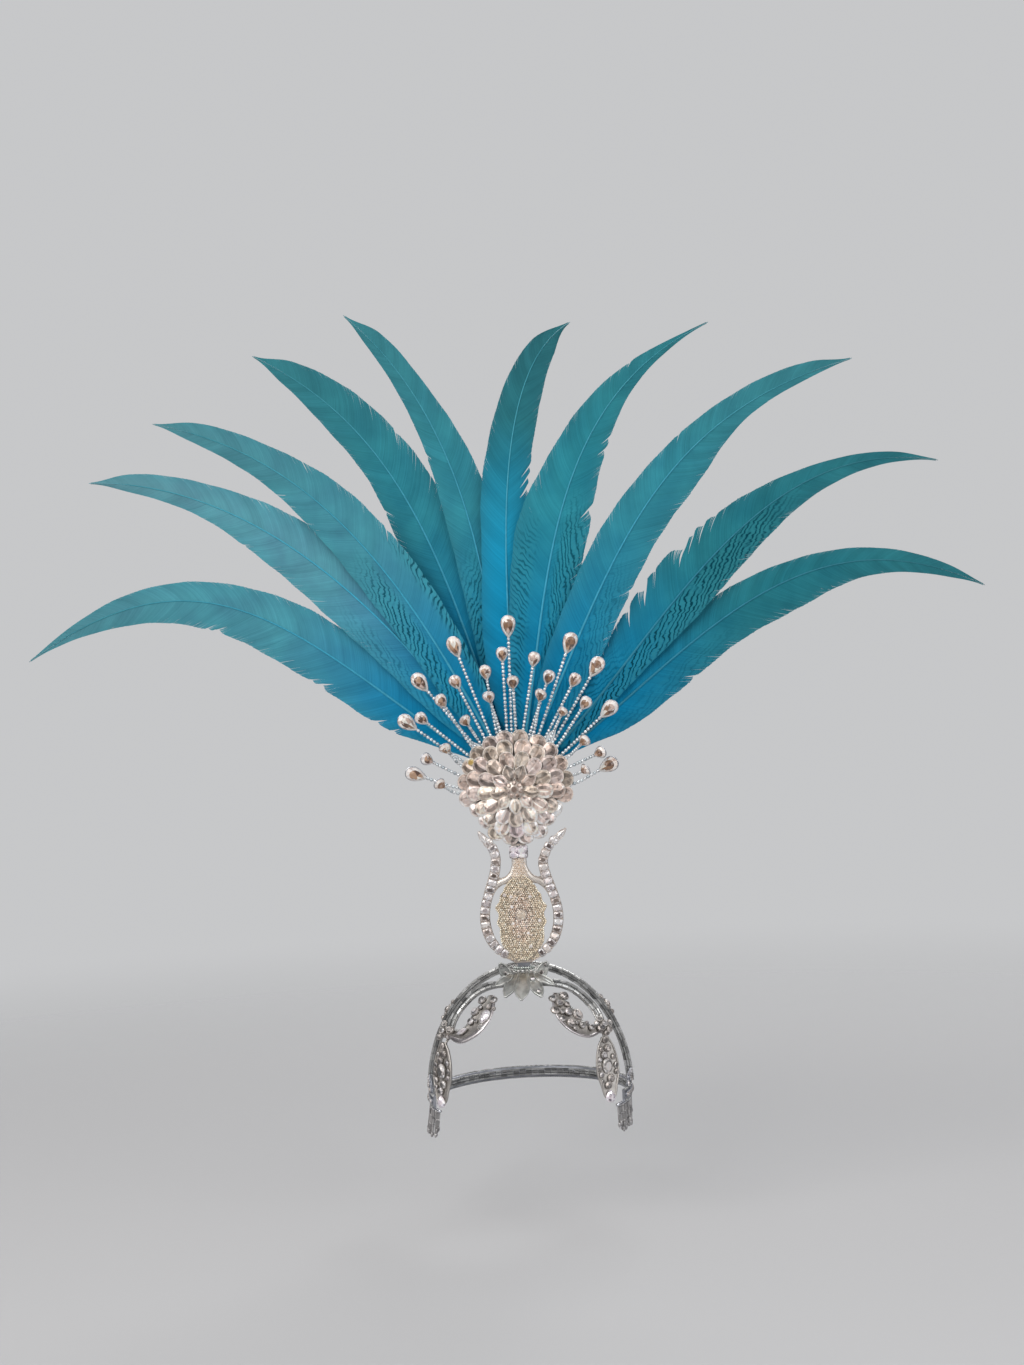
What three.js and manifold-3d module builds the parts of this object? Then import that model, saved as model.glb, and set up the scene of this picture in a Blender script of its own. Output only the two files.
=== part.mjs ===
// Showgirl feather headdress: a jewelled skull frame that carries a flat lyre
// plate, a domed crystal rosette with springy jewelled sprays, and a fan of
// long dyed tail feathers.
// Millimetres, +Z up, the wearer's face looks along -Y. The origin is the point
// where the crown of the head touches the underside of the frame.
import * as THREE from 'three';
import { mergeVertices } from 'three/addons/utils/BufferGeometryUtils.js';
import Module from 'manifold-3d';

const wasm = await Module();
wasm.setup();

// ---------------------------------------------------------------- dimensions
// Head frame: bands lie on an ellipsoid around the head.
const DOME = { a: 92.5, b: 102.5, c: 114.5, zc: -111 }; // mid surface of the bands
const BAND_T = 4;            // band thickness, radial
const REAR_Y = 5;            // plane of the ear-to-ear arch
const REAR_W = 7;            // its width, front to back
const REAR_END = 88;         // degrees from the top to each lower end
const REAR_DEEP = { in: 3, out: 4 }; // its depth, inside and outside the mid surface
const REAR_LEAF = { at: 50, spread: 4.5, rise: 4.5 }; // small leaf on each shoulder
const FRONT_W = 7.5;         // brow arch width
const LOWER = { zTop: -107.5, zBottom: -119, t: 3.5, end: 110.6 }; // band round the back
const FRINGE = { from: 81, to: 119, t: 5, zTop: -119.4 };
const TEMPLE_TURN = { left: 40, right: 28 }; // degrees the temple leaves face outward

// Rosette, fan and lyre share the axis x = 0.
const FAN = { x: 0, z: 170 }; // centre of the rosette and of the feather fan
const PLATE = { back: -18, front: -21 };      // lyre plate and rosette base
const POST = { w: 11, back: -13.7, front: -17.7, z0: 5.2, z1: 190 };
const HUB = { r: 21.6, front: -13.4, disc: 15.8, back: 18.3, discR: 34 };
const QUILL_RING = 22;       // quill ends stop on this radius
const QUILL_R = 1.75;
const LEVEL0 = -9.4;         // depth of the front layer of feathers
const LEVEL_STEP = 5.5;      // depth between layers
const LEAN0 = 30;            // backward sweep of a front feather at LEAN_R
const LEAN_STEP = 6;
const LEAN_R = 480;
const CAMBER = 0.075;        // web falls back by this share of its width
const WEB_EDGE = 0.8;        // web thickness at the margin
const WEB_START = 0.04;      // share of the length that is bare quill
const WEB_LOW = { s: 0.1, k: 0.62 };              // lowest web, as a share of the first station
const STATIONS = [0.22, 0.45, 0.62, 0.78, 0.92]; // where web widths are given

// One row a feather. root, tipDeg: degrees from straight up, clockwise.
// pull0, pull1: how long the curve keeps each end's direction.
// right, left: web width on each side of the shaft at STATIONS.
// lowRight, lowLeft: a side whose lowest web is narrower than WEB_LOW.
const FEATHERS = [
  { id: 1, level: 2, root: -54, tipX: -466.6, tipZ: 308.2, tipDeg: -122.7, pull0: 0.46, pull1: 0.49, right: [24, 27, 20, 13.5, 5], left: [26, 30, 25, 16, 5], lowLeft: 0.34 },
  { id: 2, level: 1, root: -32.7, tipX: -398.4, tipZ: 476.2, tipDeg: -87.8, pull0: 0.35, pull1: 0.35, right: [22, 28, 25, 17.5, 10.5], left: [26, 30.5, 23.9, 13, 6.6] },
  { id: 3, level: 0, root: -25.2, tipX: -331.4, tipZ: 527.8, tipDeg: -76.6, pull0: 0.395, pull1: 0.36, right: [23, 27.5, 25.5, 17, 10.4], left: [22, 27, 21.9, 14.2, 7.5] },
  { id: 4, level: 4, root: -16.1, tipX: -241.1, tipZ: 594.5, tipDeg: -61.4, pull0: 0.39, pull1: 0.375, right: [22.2, 29.4, 30.6, 25.1, 14.1], left: [22.2, 27.4, 20.9, 18.2, 9.2] },
  { id: 5, level: 3, root: -6.5, tipX: -149, tipZ: 626.8, tipDeg: -47.5, pull0: 0.315, pull1: 0.375, right: [20, 24, 22, 14.4, 11.4], left: [18, 22, 18, 12.3, 6.6] },
  { id: 6, level: 2, root: 1.6, tipX: 68.3, tipZ: 605.7, tipDeg: 62.7, pull0: 0.265, pull1: 0.25, right: [19, 21, 20.4, 19.4, 12.2], left: [24, 23.2, 24, 19, 12.6] },
  { id: 7, level: 1, root: 13, tipX: 198, tipZ: 597.7, tipDeg: 67.2, pull0: 0.33, pull1: 0.4, right: [24, 29.7, 22, 9.8, 3.2], left: [25, 37, 26.5, 15.4, 3.4] },
  { id: 8, level: 0, root: 25.3, tipX: 330, tipZ: 555.9, tipDeg: 76.4, pull0: 0.42, pull1: 0.405, right: [26, 26, 25.5, 10.4, 4.6], left: [22, 24.6, 19, 15.2, 10.2] },
  { id: 9, level: 1, root: 48.7, tipX: 406.8, tipZ: 457.6, tipDeg: 101.3, pull0: 0.33, pull1: 0.385, right: [15, 26.5, 22.5, 12.8, 4.2], left: [23, 32.6, 22.3, 10.4, 5.4] },
  { id: 10, level: 2, root: 56.6, tipX: 446.4, tipZ: 338.9, tipDeg: 116.9, pull0: 0.37, pull1: 0.445, right: [24.6, 26.4, 27, 13.4, 5.8], left: [19, 21.8, 16.4, 11.6, 6], lowRight: 0.34 },
];

// One row a spray: point on its drop, size of the drop, and where its wire
// leaves the rim of the rosette base (degrees from straight up, clockwise).
const DROP = {
  L: { len: 20.5, w: 12.6, t: 7.4 },
  M: { len: 14.6, w: 10.2, t: 6.2 },
  S: { len: 12, w: 8.6, t: 5.6 },
};
const DROP_AT = 0.62;        // place of that point, as a share of the drop's length from the wire
const WIRE_R = 1.05;
const WIRE_ROOT = { r: 41.6, y: -19.3 };
const WIRE_BEND = { r: 56.5, y: -19.6 };
const SPRAYS = [
  { id: 1, x: -92.2, z: 187.7, y: -34, size: 'L', root: -90.3 },
  { id: 2, x: -68.7, z: 178.0, y: -41, size: 'M', root: -96.2 },
  { id: 3, x: -79.5, z: 201.3, y: -44, size: 'M', root: -76.7 },
  { id: 4, x: -97.3, z: 235.7, y: -34, size: 'L', root: -62.6 },
  { id: 5, x: -82.4, z: 238.9, y: -47, size: 'M', root: -53.9 },
  { id: 6, x: -61.7, z: 210.6, y: -44, size: 'M', root: -68.7 },
  { id: 7, x: -83.7, z: 272.7, y: -34, size: 'L', root: -42.3 },
  { id: 8, x: -63.4, z: 254.5, y: -48, size: 'M', root: -47.2 },
  { id: 9, x: -50.0, z: 304.2, y: -34, size: 'L', root: -24.2 },
  { id: 10, x: -49.8, z: 271.2, y: -44, size: 'M', root: -30.6 },
  { id: 11, x: -42.3, z: 235.3, y: -46, size: 'M', root: -36.6 },
  { id: 12, x: -22.0, z: 279.1, y: -40, size: 'M', root: -18.4 },
  { id: 13, x: -19.4, z: 256.1, y: -50, size: 'M', root: -12.9 },
  { id: 14, x: -5.7, z: 294.7, y: -44, size: 'M', root: -7.6 },
  { id: 15, x: 0.4, z: 321.1, y: -34, size: 'L', root: -2.4 },
  { id: 16, x: 3.1, z: 268.8, y: -50, size: 'M', root: 2.8 },
  { id: 17, x: 23.2, z: 288.9, y: -42, size: 'M', root: 9.2 },
  { id: 18, x: 36.1, z: 271.9, y: -42, size: 'M', root: 16.2 },
  { id: 19, x: 28.1, z: 255.8, y: -50, size: 'M', root: 21.4 },
  { id: 20, x: 56.4, z: 303.0, y: -34, size: 'L', root: 26.6 },
  { id: 21, x: 59.6, z: 268.1, y: -44, size: 'M', root: 33.2 },
  { id: 22, x: 80.0, z: 279.9, y: -34, size: 'L', root: 43.6 },
  { id: 23, x: 68.6, z: 246.7, y: -46, size: 'M', root: 49.2 },
  { id: 24, x: 47.6, z: 239.6, y: -50, size: 'S', root: 38.4 },
  { id: 25, x: 90.1, z: 240.2, y: -34, size: 'L', root: 57.2 },
  { id: 26, x: 66.2, z: 212.2, y: -46, size: 'M', root: 63.6 },
  { id: 27, x: 80.2, z: 200.7, y: -46, size: 'M', root: 71.6 },
  { id: 28, x: 87.9, z: 188.9, y: -33, size: 'L', root: 91.8 },
  { id: 29, x: 65.9, z: 185.9, y: -47, size: 'M', root: 81.0 },
];

// Rosette: rings of pear stones, each ring one solid, stacked as a dome.
// The two large rings draw in below the sides: waist, at WAIST degrees from the top.
const STONE_RISE = 5.4;
const WAIST = { deg: 126, spread: 15 };
const RINGS = [
  { name: 'rosette_ring_outer', inner: 33.8, outer: 54, low: 52, waist: 7.5, stones: 20, back: -21.4 },
  { name: 'rosette_ring_second', inner: 23.8, outer: 46, low: 45, waist: 4, stones: 17, back: -27.2 },
  { name: 'rosette_ring_third', inner: 14.8, outer: 35, low: 35, waist: 0, stones: 13, back: -33.0 },
  { name: 'rosette_ring_inner', inner: 6.8, outer: 23.5, low: 23.5, waist: 0, stones: 9, back: -38.8 },
];
const BASE_STEPS = [ // radius of the padded base up to each depth
  { r: 40, y: -21 }, { r: 33.4, y: -26.9 }, { r: 23.4, y: -32.7 }, { r: 14.4, y: -38.5 }, { r: 6.4, y: -44.3 },
];
const CENTER = { r: 9, back: -44.6, front: -50.5 };

// Lyre: half outline, bottom to tip.
const ARM = [
  { z: 18, outer: 23 }, { z: 27, outer: 32, inner: 22 }, { z: 39, outer: 37, inner: 27.5 },
  { z: 52, outer: 38.4, inner: 29.3 }, { z: 65, outer: 36.5, inner: 27.5 }, { z: 80, outer: 32 },
  { z: 88.5, outer: 29, inner: 19.3 }, { z: 97, outer: 26.8, inner: 17.7 }, { z: 105, outer: 26.4, inner: 17.7 },
  { z: 115, outer: 30, inner: 21.2 }, { z: 122, outer: 35, inner: 28.6 },
];
const LYRE = { bottom: 9.2, bottomHalf: 7, tipX: 40.2, tipZ: 131.5, neckHalf: 6.6, neckTop: 118.8, slotX: 17, slotZ: 87.6, hipZ: 96.5, holeBottom: 18.6, holeTop: 86, holeHip: { x: 13, z: 83 }, lean: 4, leanFrom: 100 };
const COLLAR = { w: 17.2, z0: 105.5, z1: 117.2, front: -27, back: -21.4 };
const APPLIQUE = { front: -24.6, back: -21.4, top: 90.5, bottom: 11 };
const SCALLOPS = [ // half width of the scalloped panel, bottom to top
  { z: 13, half: 7.5 }, { z: 20, half: 13.4 }, { z: 24, half: 17.2 }, { z: 28, half: 19.4 }, { z: 36.7, half: 20.4 }, { z: 42, half: 20.4 },
  { z: 46.5, half: 22.9 }, { z: 51, half: 21.2 }, { z: 55.5, half: 21 }, { z: 61, half: 23.7 }, { z: 66, half: 19.8 },
  { z: 71.5, half: 18.8 }, { z: 75, half: 16 }, { z: 79, half: 14.2 }, { z: 85, half: 9.4 },
];
const STONE = { r: 4.6, z: 53.6, back: -24.9, front: -28.6 };

// Brow arch and scroll, right half: centre line as seen from the front.
const BROW_ARCH = [
  { x: 0, z: -6.5 }, { x: 17, z: -7.6 }, { x: 32, z: -9.9 }, { x: 45, z: -16.2 }, { x: 56, z: -25.8 }, { x: 64.6, z: -37 }, { x: 70, z: -50 },
];
const SCROLL = [
  { x: 68, z: -49.5, w: 7 }, { x: 57, z: -49.5, w: 9 }, { x: 47, z: -43.5, w: 15 }, { x: 38.5, z: -34, w: 20 }, { x: 32.5, z: -24, w: 16 }, { x: 29, z: -16.5, w: 5 },
];
const JUNCTION_R = 7;
// Crown plate and its palmette.
const CROWN = [ // half width of the plate from front to back
  { y: -36, half: 12 }, { y: -32.6, half: 15.5 }, { y: -27, half: 18.5 }, { y: -18, half: 18.5 }, { y: -7, half: 15 }, { y: 0.6, half: 9 },
];
const PETALS = [
  { x0: 0, x: -1, z: -18.5, w: 14 }, { x0: -6, x: -15.5, z: -16, w: 11.5 }, { x0: 6, x: 17, z: -17, w: 11.5 },
  { x0: -10, x: -25, z: -8, w: 10 }, { x0: 10, x: 28, z: -9, w: 10 },
];
const PETAL = { y0: -22, seat: 2.4, lift: 5.4, edge: 2, mid: 4 }; // leaves ride over the brow arch
const STUBS = [{ x: -15 }, { x: 15 }]; // small leaves standing beside the lyre foot
const STUB = { len: 14, w: 9, tilt: 28, y: -27, z: -2.2 };
const TEMPLE = [ // from the junction down; width and thickness
  { s: 0, w: 7, t: 3 }, { s: 0.12, w: 14, t: 4.4 }, { s: 0.34, w: 20.5, t: 5.4 }, { s: 0.58, w: 21, t: 5.4 },
  { s: 0.78, w: 15, t: 5 }, { s: 0.92, w: 11, t: 4.4 }, { s: 1, w: 5, t: 2.4 },
];
const TEMPLE_TOP = { x: 71.5, y: -45.5, z: -58.3 };
const TEMPLE_END = { x: 74.5, y: -53, z: -114 };
const TEMPLE_SPREAD = { left: 3.5, right: 0 }; // how far each leaf hangs further out
const FRINGE_LEN = [22, 26, 28, 24, 27.5, 25, 28, 23, 18]; // ragged lower edge, front to back

// ------------------------------------------------------------------ helpers
const V = (x, y, z) => new THREE.Vector3(x, y, z);
const rad = THREE.MathUtils.degToRad;

function solid(points, faces) {
  const geometry = new THREE.BufferGeometry();
  geometry.setAttribute('position', new THREE.Float32BufferAttribute(points.flatMap((p) => [p.x, p.y, p.z]), 3));
  let volume = 0;
  for (const [i, j, k] of faces) volume += points[i].dot(V().crossVectors(points[j], points[k]));
  geometry.setIndex((volume < 0 ? faces.map(([i, j, k]) => [i, k, j]) : faces).flat());
  geometry.computeVertexNormals();
  return geometry;
}

// Closed skin through rings of equal point count, flat at both ends.
function loft(rings) {
  const n = rings[0].length;
  const points = rings.flat();
  const faces = [];
  for (let r = 0; r + 1 < rings.length; r++) {
    for (let i = 0; i < n; i++) {
      const a = r * n + i, b = r * n + ((i + 1) % n);
      faces.push([a, b, b + n], [a, b + n, a + n]);
    }
  }
  const last = (rings.length - 1) * n;
  for (let i = 1; i + 1 < n; i++) faces.push([0, i + 1, i], [last, last + i, last + i + 1]);
  return solid(points, faces);
}

// Skin through rings that close on the first ring again.
function loop(rings) {
  const n = rings[0].length, m = rings.length;
  const faces = [];
  for (let r = 0; r < m; r++) {
    for (let i = 0; i < n; i++) {
      const j = (i + 1) % n, q = (r + 1) % m;
      faces.push([r * n + i, r * n + j, q * n + j], [r * n + i, q * n + j, q * n + i]);
    }
  }
  return solid(rings.flat(), faces);
}

function toManifold(geometry) {
  const g = geometry.clone();
  for (const name of Object.keys(g.attributes)) if (name !== 'position') g.deleteAttribute(name);
  const merged = mergeVertices(g.index ? g : g, 1e-4);
  return new wasm.Manifold(new wasm.Mesh({ numProp: 3, vertProperties: new Float32Array(merged.attributes.position.array), triVerts: new Uint32Array(merged.index.array) }));
}

function union(geometries) {
  const body = geometries.map(toManifold).reduce((sum, part) => sum.add(part)).getMesh();
  const geometry = new THREE.BufferGeometry();
  geometry.setAttribute('position', new THREE.BufferAttribute(new Float32Array(body.vertProperties), 3));
  geometry.setIndex(new THREE.BufferAttribute(new Uint32Array(body.triVerts), 1));
  geometry.computeVertexNormals();
  return geometry;
}

// Smooth value through table rows (Hermite, no overshoot at the ends).
function through(xs, ys, x) {
  if (x <= xs[0]) return ys[0];
  const last = xs.length - 1;
  if (x >= xs[last]) return ys[last];
  let i = 0;
  while (x > xs[i + 1]) i++;
  const slope = (k) => (k === 0 || k === last ? 0 : (ys[k + 1] - ys[k - 1]) / (xs[k + 1] - xs[k - 1]));
  const h = xs[i + 1] - xs[i], t = (x - xs[i]) / h, t2 = t * t, t3 = t2 * t;
  return (2 * t3 - 3 * t2 + 1) * ys[i] + (t3 - 2 * t2 + t) * h * slope(i) + (3 * t2 - 2 * t3) * ys[i + 1] + (t3 - t2) * h * slope(i + 1);
}

// Front half of the head ellipsoid, grown by g: depth at a place seen from the front.
function domeY(x, z, g = 0) {
  const q = 1 - (x / (DOME.a + g)) ** 2 - ((z - DOME.zc) / (DOME.c + g)) ** 2;
  return -(DOME.b + g) * Math.sqrt(Math.max(q, 0));
}
function domeZ(x, y, g = 0) {
  const q = 1 - (x / (DOME.a + g)) ** 2 - (y / (DOME.b + g)) ** 2;
  return DOME.zc + (DOME.c + g) * Math.sqrt(Math.max(q, 0));
}
function domeNormal(p) {
  return V(p.x / DOME.a ** 2, p.y / DOME.b ** 2, (p.z - DOME.zc) / DOME.c ** 2).normalize();
}

// Band along points on the dome; size(i) gives its width and edge and middle thickness.
function domeBand(path, size) {
  return loft(path.map((p, i) => {
    const before = path[Math.max(i - 1, 0)], after = path[Math.min(i + 1, path.length - 1)];
    const along = after.clone().sub(before).normalize();
    const up = domeNormal(p);
    const side = V().crossVectors(along, up).normalize();
    const { w, edge, mid } = size(i);
    const at = (u, v) => p.clone().addScaledVector(side, u).addScaledVector(up, v);
    return [at(-w / 2, -edge / 2), at(0, -mid / 2), at(w / 2, -edge / 2), at(w / 2, edge / 2), at(0, mid / 2), at(-w / 2, edge / 2)];
  }));
}

const spline = (points, n) => new THREE.CatmullRomCurve3(points, false, 'centripetal').getPoints(n);

// Flat shape drawn as seen from the front (x, z), between two depths.
function flatPlate(outline, holes, front, back) {
  const shape = new THREE.Shape(outline);
  for (const hole of holes) shape.holes.push(new THREE.Path(hole));
  const g = new THREE.ExtrudeGeometry(shape, { depth: back - front, bevelEnabled: false, steps: 1 });
  g.rotateX(Math.PI / 2);          // drawn up becomes +Z, depth runs to -Y
  g.translate(0, back, 0);
  return g;
}
const P2 = (x, z) => new THREE.Vector2(x, z);
const smooth2 = (points, n) => new THREE.SplineCurve(points).getPoints(n);

// -------------------------------------------------------------------- pieces
function feather(row) {
  const root = P2(FAN.x + QUILL_RING * Math.sin(rad(row.root)), FAN.z + QUILL_RING * Math.cos(rad(row.root)));
  const tip = P2(row.tipX, row.tipZ);
  const chord = tip.distanceTo(root);
  const curve = new THREE.CubicBezierCurve(
    root,
    P2(root.x + row.pull0 * chord * Math.sin(rad(row.root)), root.y + row.pull0 * chord * Math.cos(rad(row.root))),
    P2(tip.x - row.pull1 * chord * Math.sin(rad(row.tipDeg)), tip.y - row.pull1 * chord * Math.cos(rad(row.tipDeg))),
    tip,
  );
  const xs = [WEB_START, WEB_LOW.s, ...STATIONS, 1];
  const width = (side, low, s) => through(xs, [QUILL_R, (low ?? WEB_LOW.k) * side[0], ...side, 0.8], s);
  const steps = [0, WEB_START, 0.065, 0.1, 0.15, 0.22, 0.31, 0.4, 0.49, 0.58, 0.66, 0.74, 0.82, 0.89, 0.95, 1];
  return loft(steps.map((s) => {
    const c = curve.getPointAt(s), t = curve.getTangentAt(s);
    const r = Math.hypot(c.x - FAN.x, c.y - FAN.z);
    const y = LEVEL0 + row.level * LEVEL_STEP + (LEAN0 + row.level * LEAN_STEP) * (r / LEAN_R) ** 2;
    const shaft = THREE.MathUtils.lerp(QUILL_R, 0.6, s);
    const bare = s <= WEB_START;
    const right = bare ? QUILL_R * 0.9 : width(row.right, row.lowRight, s);
    const left = bare ? QUILL_R * 0.9 : width(row.left, row.lowLeft, s);
    const edge = bare ? QUILL_R * 0.9 : WEB_EDGE / 2;
    const at = (u, depth) => V(c.x + t.y * u, y + (bare ? 0 : Math.abs(u) * CAMBER) + depth, c.y - t.x * u);
    return [at(0, -shaft), at(right, -edge), at(right, edge), at(0, shaft), at(-left, edge), at(-left, -edge)];
  }));
}

function spray(row) {
  const size = DROP[row.size];
  const polar = (deg, r, y) => V(FAN.x + r * Math.sin(rad(deg)), y, FAN.z + r * Math.cos(rad(deg)));
  const drop = V(row.x, row.y, row.z);
  const tipDeg = THREE.MathUtils.radToDeg(Math.atan2(row.x - FAN.x, row.z - FAN.z));
  const root = polar(row.root, WIRE_ROOT.r, WIRE_ROOT.y);
  const bend = polar(THREE.MathUtils.lerp(row.root, tipDeg, 0.3), WIRE_BEND.r, WIRE_BEND.y);
  const dir = drop.clone().sub(bend).normalize();
  const side = V().crossVectors(dir, V(0, -1, 0)).normalize();
  const face = V().crossVectors(side, dir).normalize();
  const neck = drop.clone().addScaledVector(dir, -size.len * DROP_AT);
  const ring = (p, ru, rv, u = side, v = face) => Array.from({ length: 6 }, (_, i) => {
    const a = (i / 6) * 2 * Math.PI;
    return p.clone().addScaledVector(u, ru * Math.cos(a)).addScaledVector(v, rv * Math.sin(a));
  });
  const outDir = bend.clone().sub(root).normalize();
  const outSide = V().crossVectors(outDir, V(0, -1, 0)).normalize();
  const outFace = V().crossVectors(outSide, outDir).normalize();
  const pear = [[0.1, 0.34], [0.32, 0.66], [0.55, 0.93], [0.74, 1], [0.9, 0.72], [1, 0.22]]; // share of length, share of width
  return loft([
    ring(root, WIRE_R, WIRE_R, outSide, outFace),
    ring(bend, WIRE_R, WIRE_R),
    ring(neck, WIRE_R, WIRE_R),
    ...pear.map(([s, k]) => ring(neck.clone().addScaledVector(dir, s * size.len), (k * size.w) / 2, (k * size.t) / 2)),
  ]);
}

function stoneRing({ inner, outer, low, waist, stones, back }) {
  const cuts = 6;
  return loop(Array.from({ length: stones * cuts }, (_, i) => {
    const a = (i / (stones * cuts)) * 2 * Math.PI;
    const u = ((i % cuts) / cuts) * 2 - 1;                 // -1 at the joint, 0 on the stone's axis
    const deg = THREE.MathUtils.radToDeg(Math.acos(Math.cos(a)));
    const reach = THREE.MathUtils.lerp(outer, low, THREE.MathUtils.smoothstep(-Math.cos(a), -0.1, 0.6))
      - waist * Math.exp(-(((deg - WAIST.deg) / WAIST.spread) ** 2));
    const round = Math.sqrt(1 - Math.min(Math.abs(u), 0.98) ** 2);
    const valley = inner + (reach - inner) * 0.62;
    const rim = valley + (reach - valley) * round;
    const crest = STONE_RISE * (0.45 + 0.55 * round);
    const at = (r, depth) => V(FAN.x + r * Math.sin(a), back - depth, FAN.z + r * Math.cos(a));
    const mid = inner + (rim - inner) * 0.62;
    return [at(inner, 0), at(rim, 0), at(rim, crest * 0.4), at(mid, crest), at(inner, crest * 0.72)];
  }));
}

function lathe(profile, segments) { // profile rows: radius, depth; axis along Y through the fan centre
  const rows = profile.map(([r, y]) => P2(r, y));
  return new THREE.LatheGeometry(THREE.ShapeUtils.area(rows) < 0 ? rows.reverse() : rows, segments);
}

function rosetteBase() {
  const rows = [[0, PLATE.back], [BASE_STEPS[0].r, PLATE.back]];
  BASE_STEPS.forEach((step, i) => {
    rows.push([step.r, step.y]);
    if (BASE_STEPS[i + 1]) rows.push([BASE_STEPS[i + 1].r, step.y]);
  });
  rows.push([0, BASE_STEPS[BASE_STEPS.length - 1].y]);
  return lathe(rows, 20).translate(FAN.x, 0, FAN.z);
}

function featherHub() {
  return lathe([[0, HUB.front], [HUB.r, HUB.front], [HUB.r, HUB.disc], [HUB.discR, HUB.disc], [HUB.discR, HUB.back - 1], [HUB.discR - 1, HUB.back], [0, HUB.back]], 24).translate(FAN.x, 0, FAN.z);
}

function rosetteCenter() {
  const depth = CENTER.back - CENTER.front;
  return lathe([[0, CENTER.back], [CENTER.r, CENTER.back], [CENTER.r * 0.94, CENTER.back - depth * 0.45], [CENTER.r * 0.6, CENTER.back - depth * 0.85], [0, CENTER.front]], 14).translate(FAN.x, 0, FAN.z);
}

function lyrePlate() {
  const outer = ARM.map((r) => P2(r.outer, r.z));
  const inner = ARM.filter((r) => r.inner && r.z > 85).map((r) => P2(r.inner, r.z)).reverse();
  const right = [
    ...smooth2([P2(LYRE.bottomHalf, LYRE.bottom), ...outer, P2(LYRE.tipX, LYRE.tipZ)], 34),
    ...smooth2(inner, 12),
    ...smooth2([P2(LYRE.slotX, LYRE.slotZ), P2((LYRE.slotX + LYRE.neckHalf) / 2, LYRE.slotZ + 2.6), P2(LYRE.neckHalf + 1, LYRE.hipZ), P2(LYRE.neckHalf, LYRE.hipZ + 5)], 8),
    P2(LYRE.neckHalf, LYRE.neckTop),
  ];
  const left = right.map((p) => P2(-p.x, p.y)).reverse();
  const holeRight = smooth2([P2(0, LYRE.holeBottom), P2(12, 20.6), ...ARM.filter((r) => r.inner && r.z < 70).map((r) => P2(r.inner, r.z)), P2(22.6, 76), P2(LYRE.holeHip.x, LYRE.holeHip.z), P2(0, LYRE.holeTop)], 20);
  const hole = [...holeRight, ...holeRight.slice(1, -1).map((p) => P2(-p.x, p.y)).reverse()];
  const lean = ({ x, y }) => { // the arms' tops both lean to the viewer's right
    const top = THREE.MathUtils.clamp((y - LYRE.leanFrom) / (LYRE.tipZ - LYRE.leanFrom), 0, 1), out = THREE.MathUtils.smoothstep(Math.abs(x), 10, 16);
    return new THREE.Vector2(x + LYRE.lean * top * out, y);
  };
  return flatPlate([...right, ...left].map(lean), [hole], PLATE.front, PLATE.back);
}

function applique() {
  const right = smooth2(SCALLOPS.map((r) => P2(r.half, r.z)), 30);
  const outline = [P2(0, APPLIQUE.bottom), ...right, P2(4.4, 89), P2(0, APPLIQUE.top), P2(-4.4, 89), ...right.map((p) => P2(-p.x, p.y)).reverse()];
  return flatPlate(outline, [], APPLIQUE.front, APPLIQUE.back);
}

function collar() {
  const { w, z0, z1, front, back } = COLLAR;
  const section = (y, k) => [[-1, -1], [-0.72, -1.12], [0.72, -1.12], [1, -1], [1, 1], [0.72, 1.12], [-0.72, 1.12], [-1, 1]].map(([u, v]) => V((u * k * w) / 2, y, (z0 + z1) / 2 + (v * k * (z1 - z0)) / 2.24));
  return loft([section(back, 1), section(front + 2, 1), section(front, 0.72)]);
}

function crownPalmette() {
  const half = 4;
  const plate = loft(CROWN.map(({ y, half: w }) => {
    const ring = [];
    for (let i = 0; i <= half; i++) { const x = w * ((2 * i) / half - 1); ring.push(V(x, y, domeZ(x, y, -BAND_T / 2))); }
    for (let i = half; i >= 0; i--) { const x = w * ((2 * i) / half - 1); ring.push(V(x, y, domeZ(x, y, BAND_T / 2))); }
    return ring;
  }));
  const leaf = [0.3, 0.75, 1, 0.9, 0.6, 0.12]; // share of the width along a leaf
  const petals = PETALS.map(({ x0, x, z, w }) => {
    const z0 = domeZ(x0, PETAL.y0);
    const path = leaf.map((_, i) => {
      const s = i / (leaf.length - 1);
      const px = THREE.MathUtils.lerp(x0, x, s), pz = THREE.MathUtils.lerp(z0, z, s);
      return V(px, domeY(px, pz, THREE.MathUtils.lerp(PETAL.seat, PETAL.lift, Math.min(1, 5 * s))), pz);
    });
    return domeBand(path, (i) => ({ w: w * leaf[i], edge: PETAL.edge, mid: PETAL.mid }));
  });
  const stubs = STUBS.map(({ x }) => {
    const way = V(Math.sign(x) * Math.sin(rad(STUB.tilt)), 0, Math.cos(rad(STUB.tilt)));
    const side = V(way.z, 0, -way.x);
    return loft([0, 0.3, 0.6, 0.85, 1].map((s, i) => {
      const p = V(x, STUB.y, STUB.z).addScaledVector(way, s * STUB.len);
      const w = (STUB.w * [0.9, 1, 0.85, 0.5, 0.12][i]) / 2;
      return [p.clone().addScaledVector(side, -w), p.clone().add(V(0, -2.2, 0)), p.clone().addScaledVector(side, w), p.clone().add(V(0, 2.2, 0))];
    }));
  });
  return union([plate, ...petals, ...stubs]);
}

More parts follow.
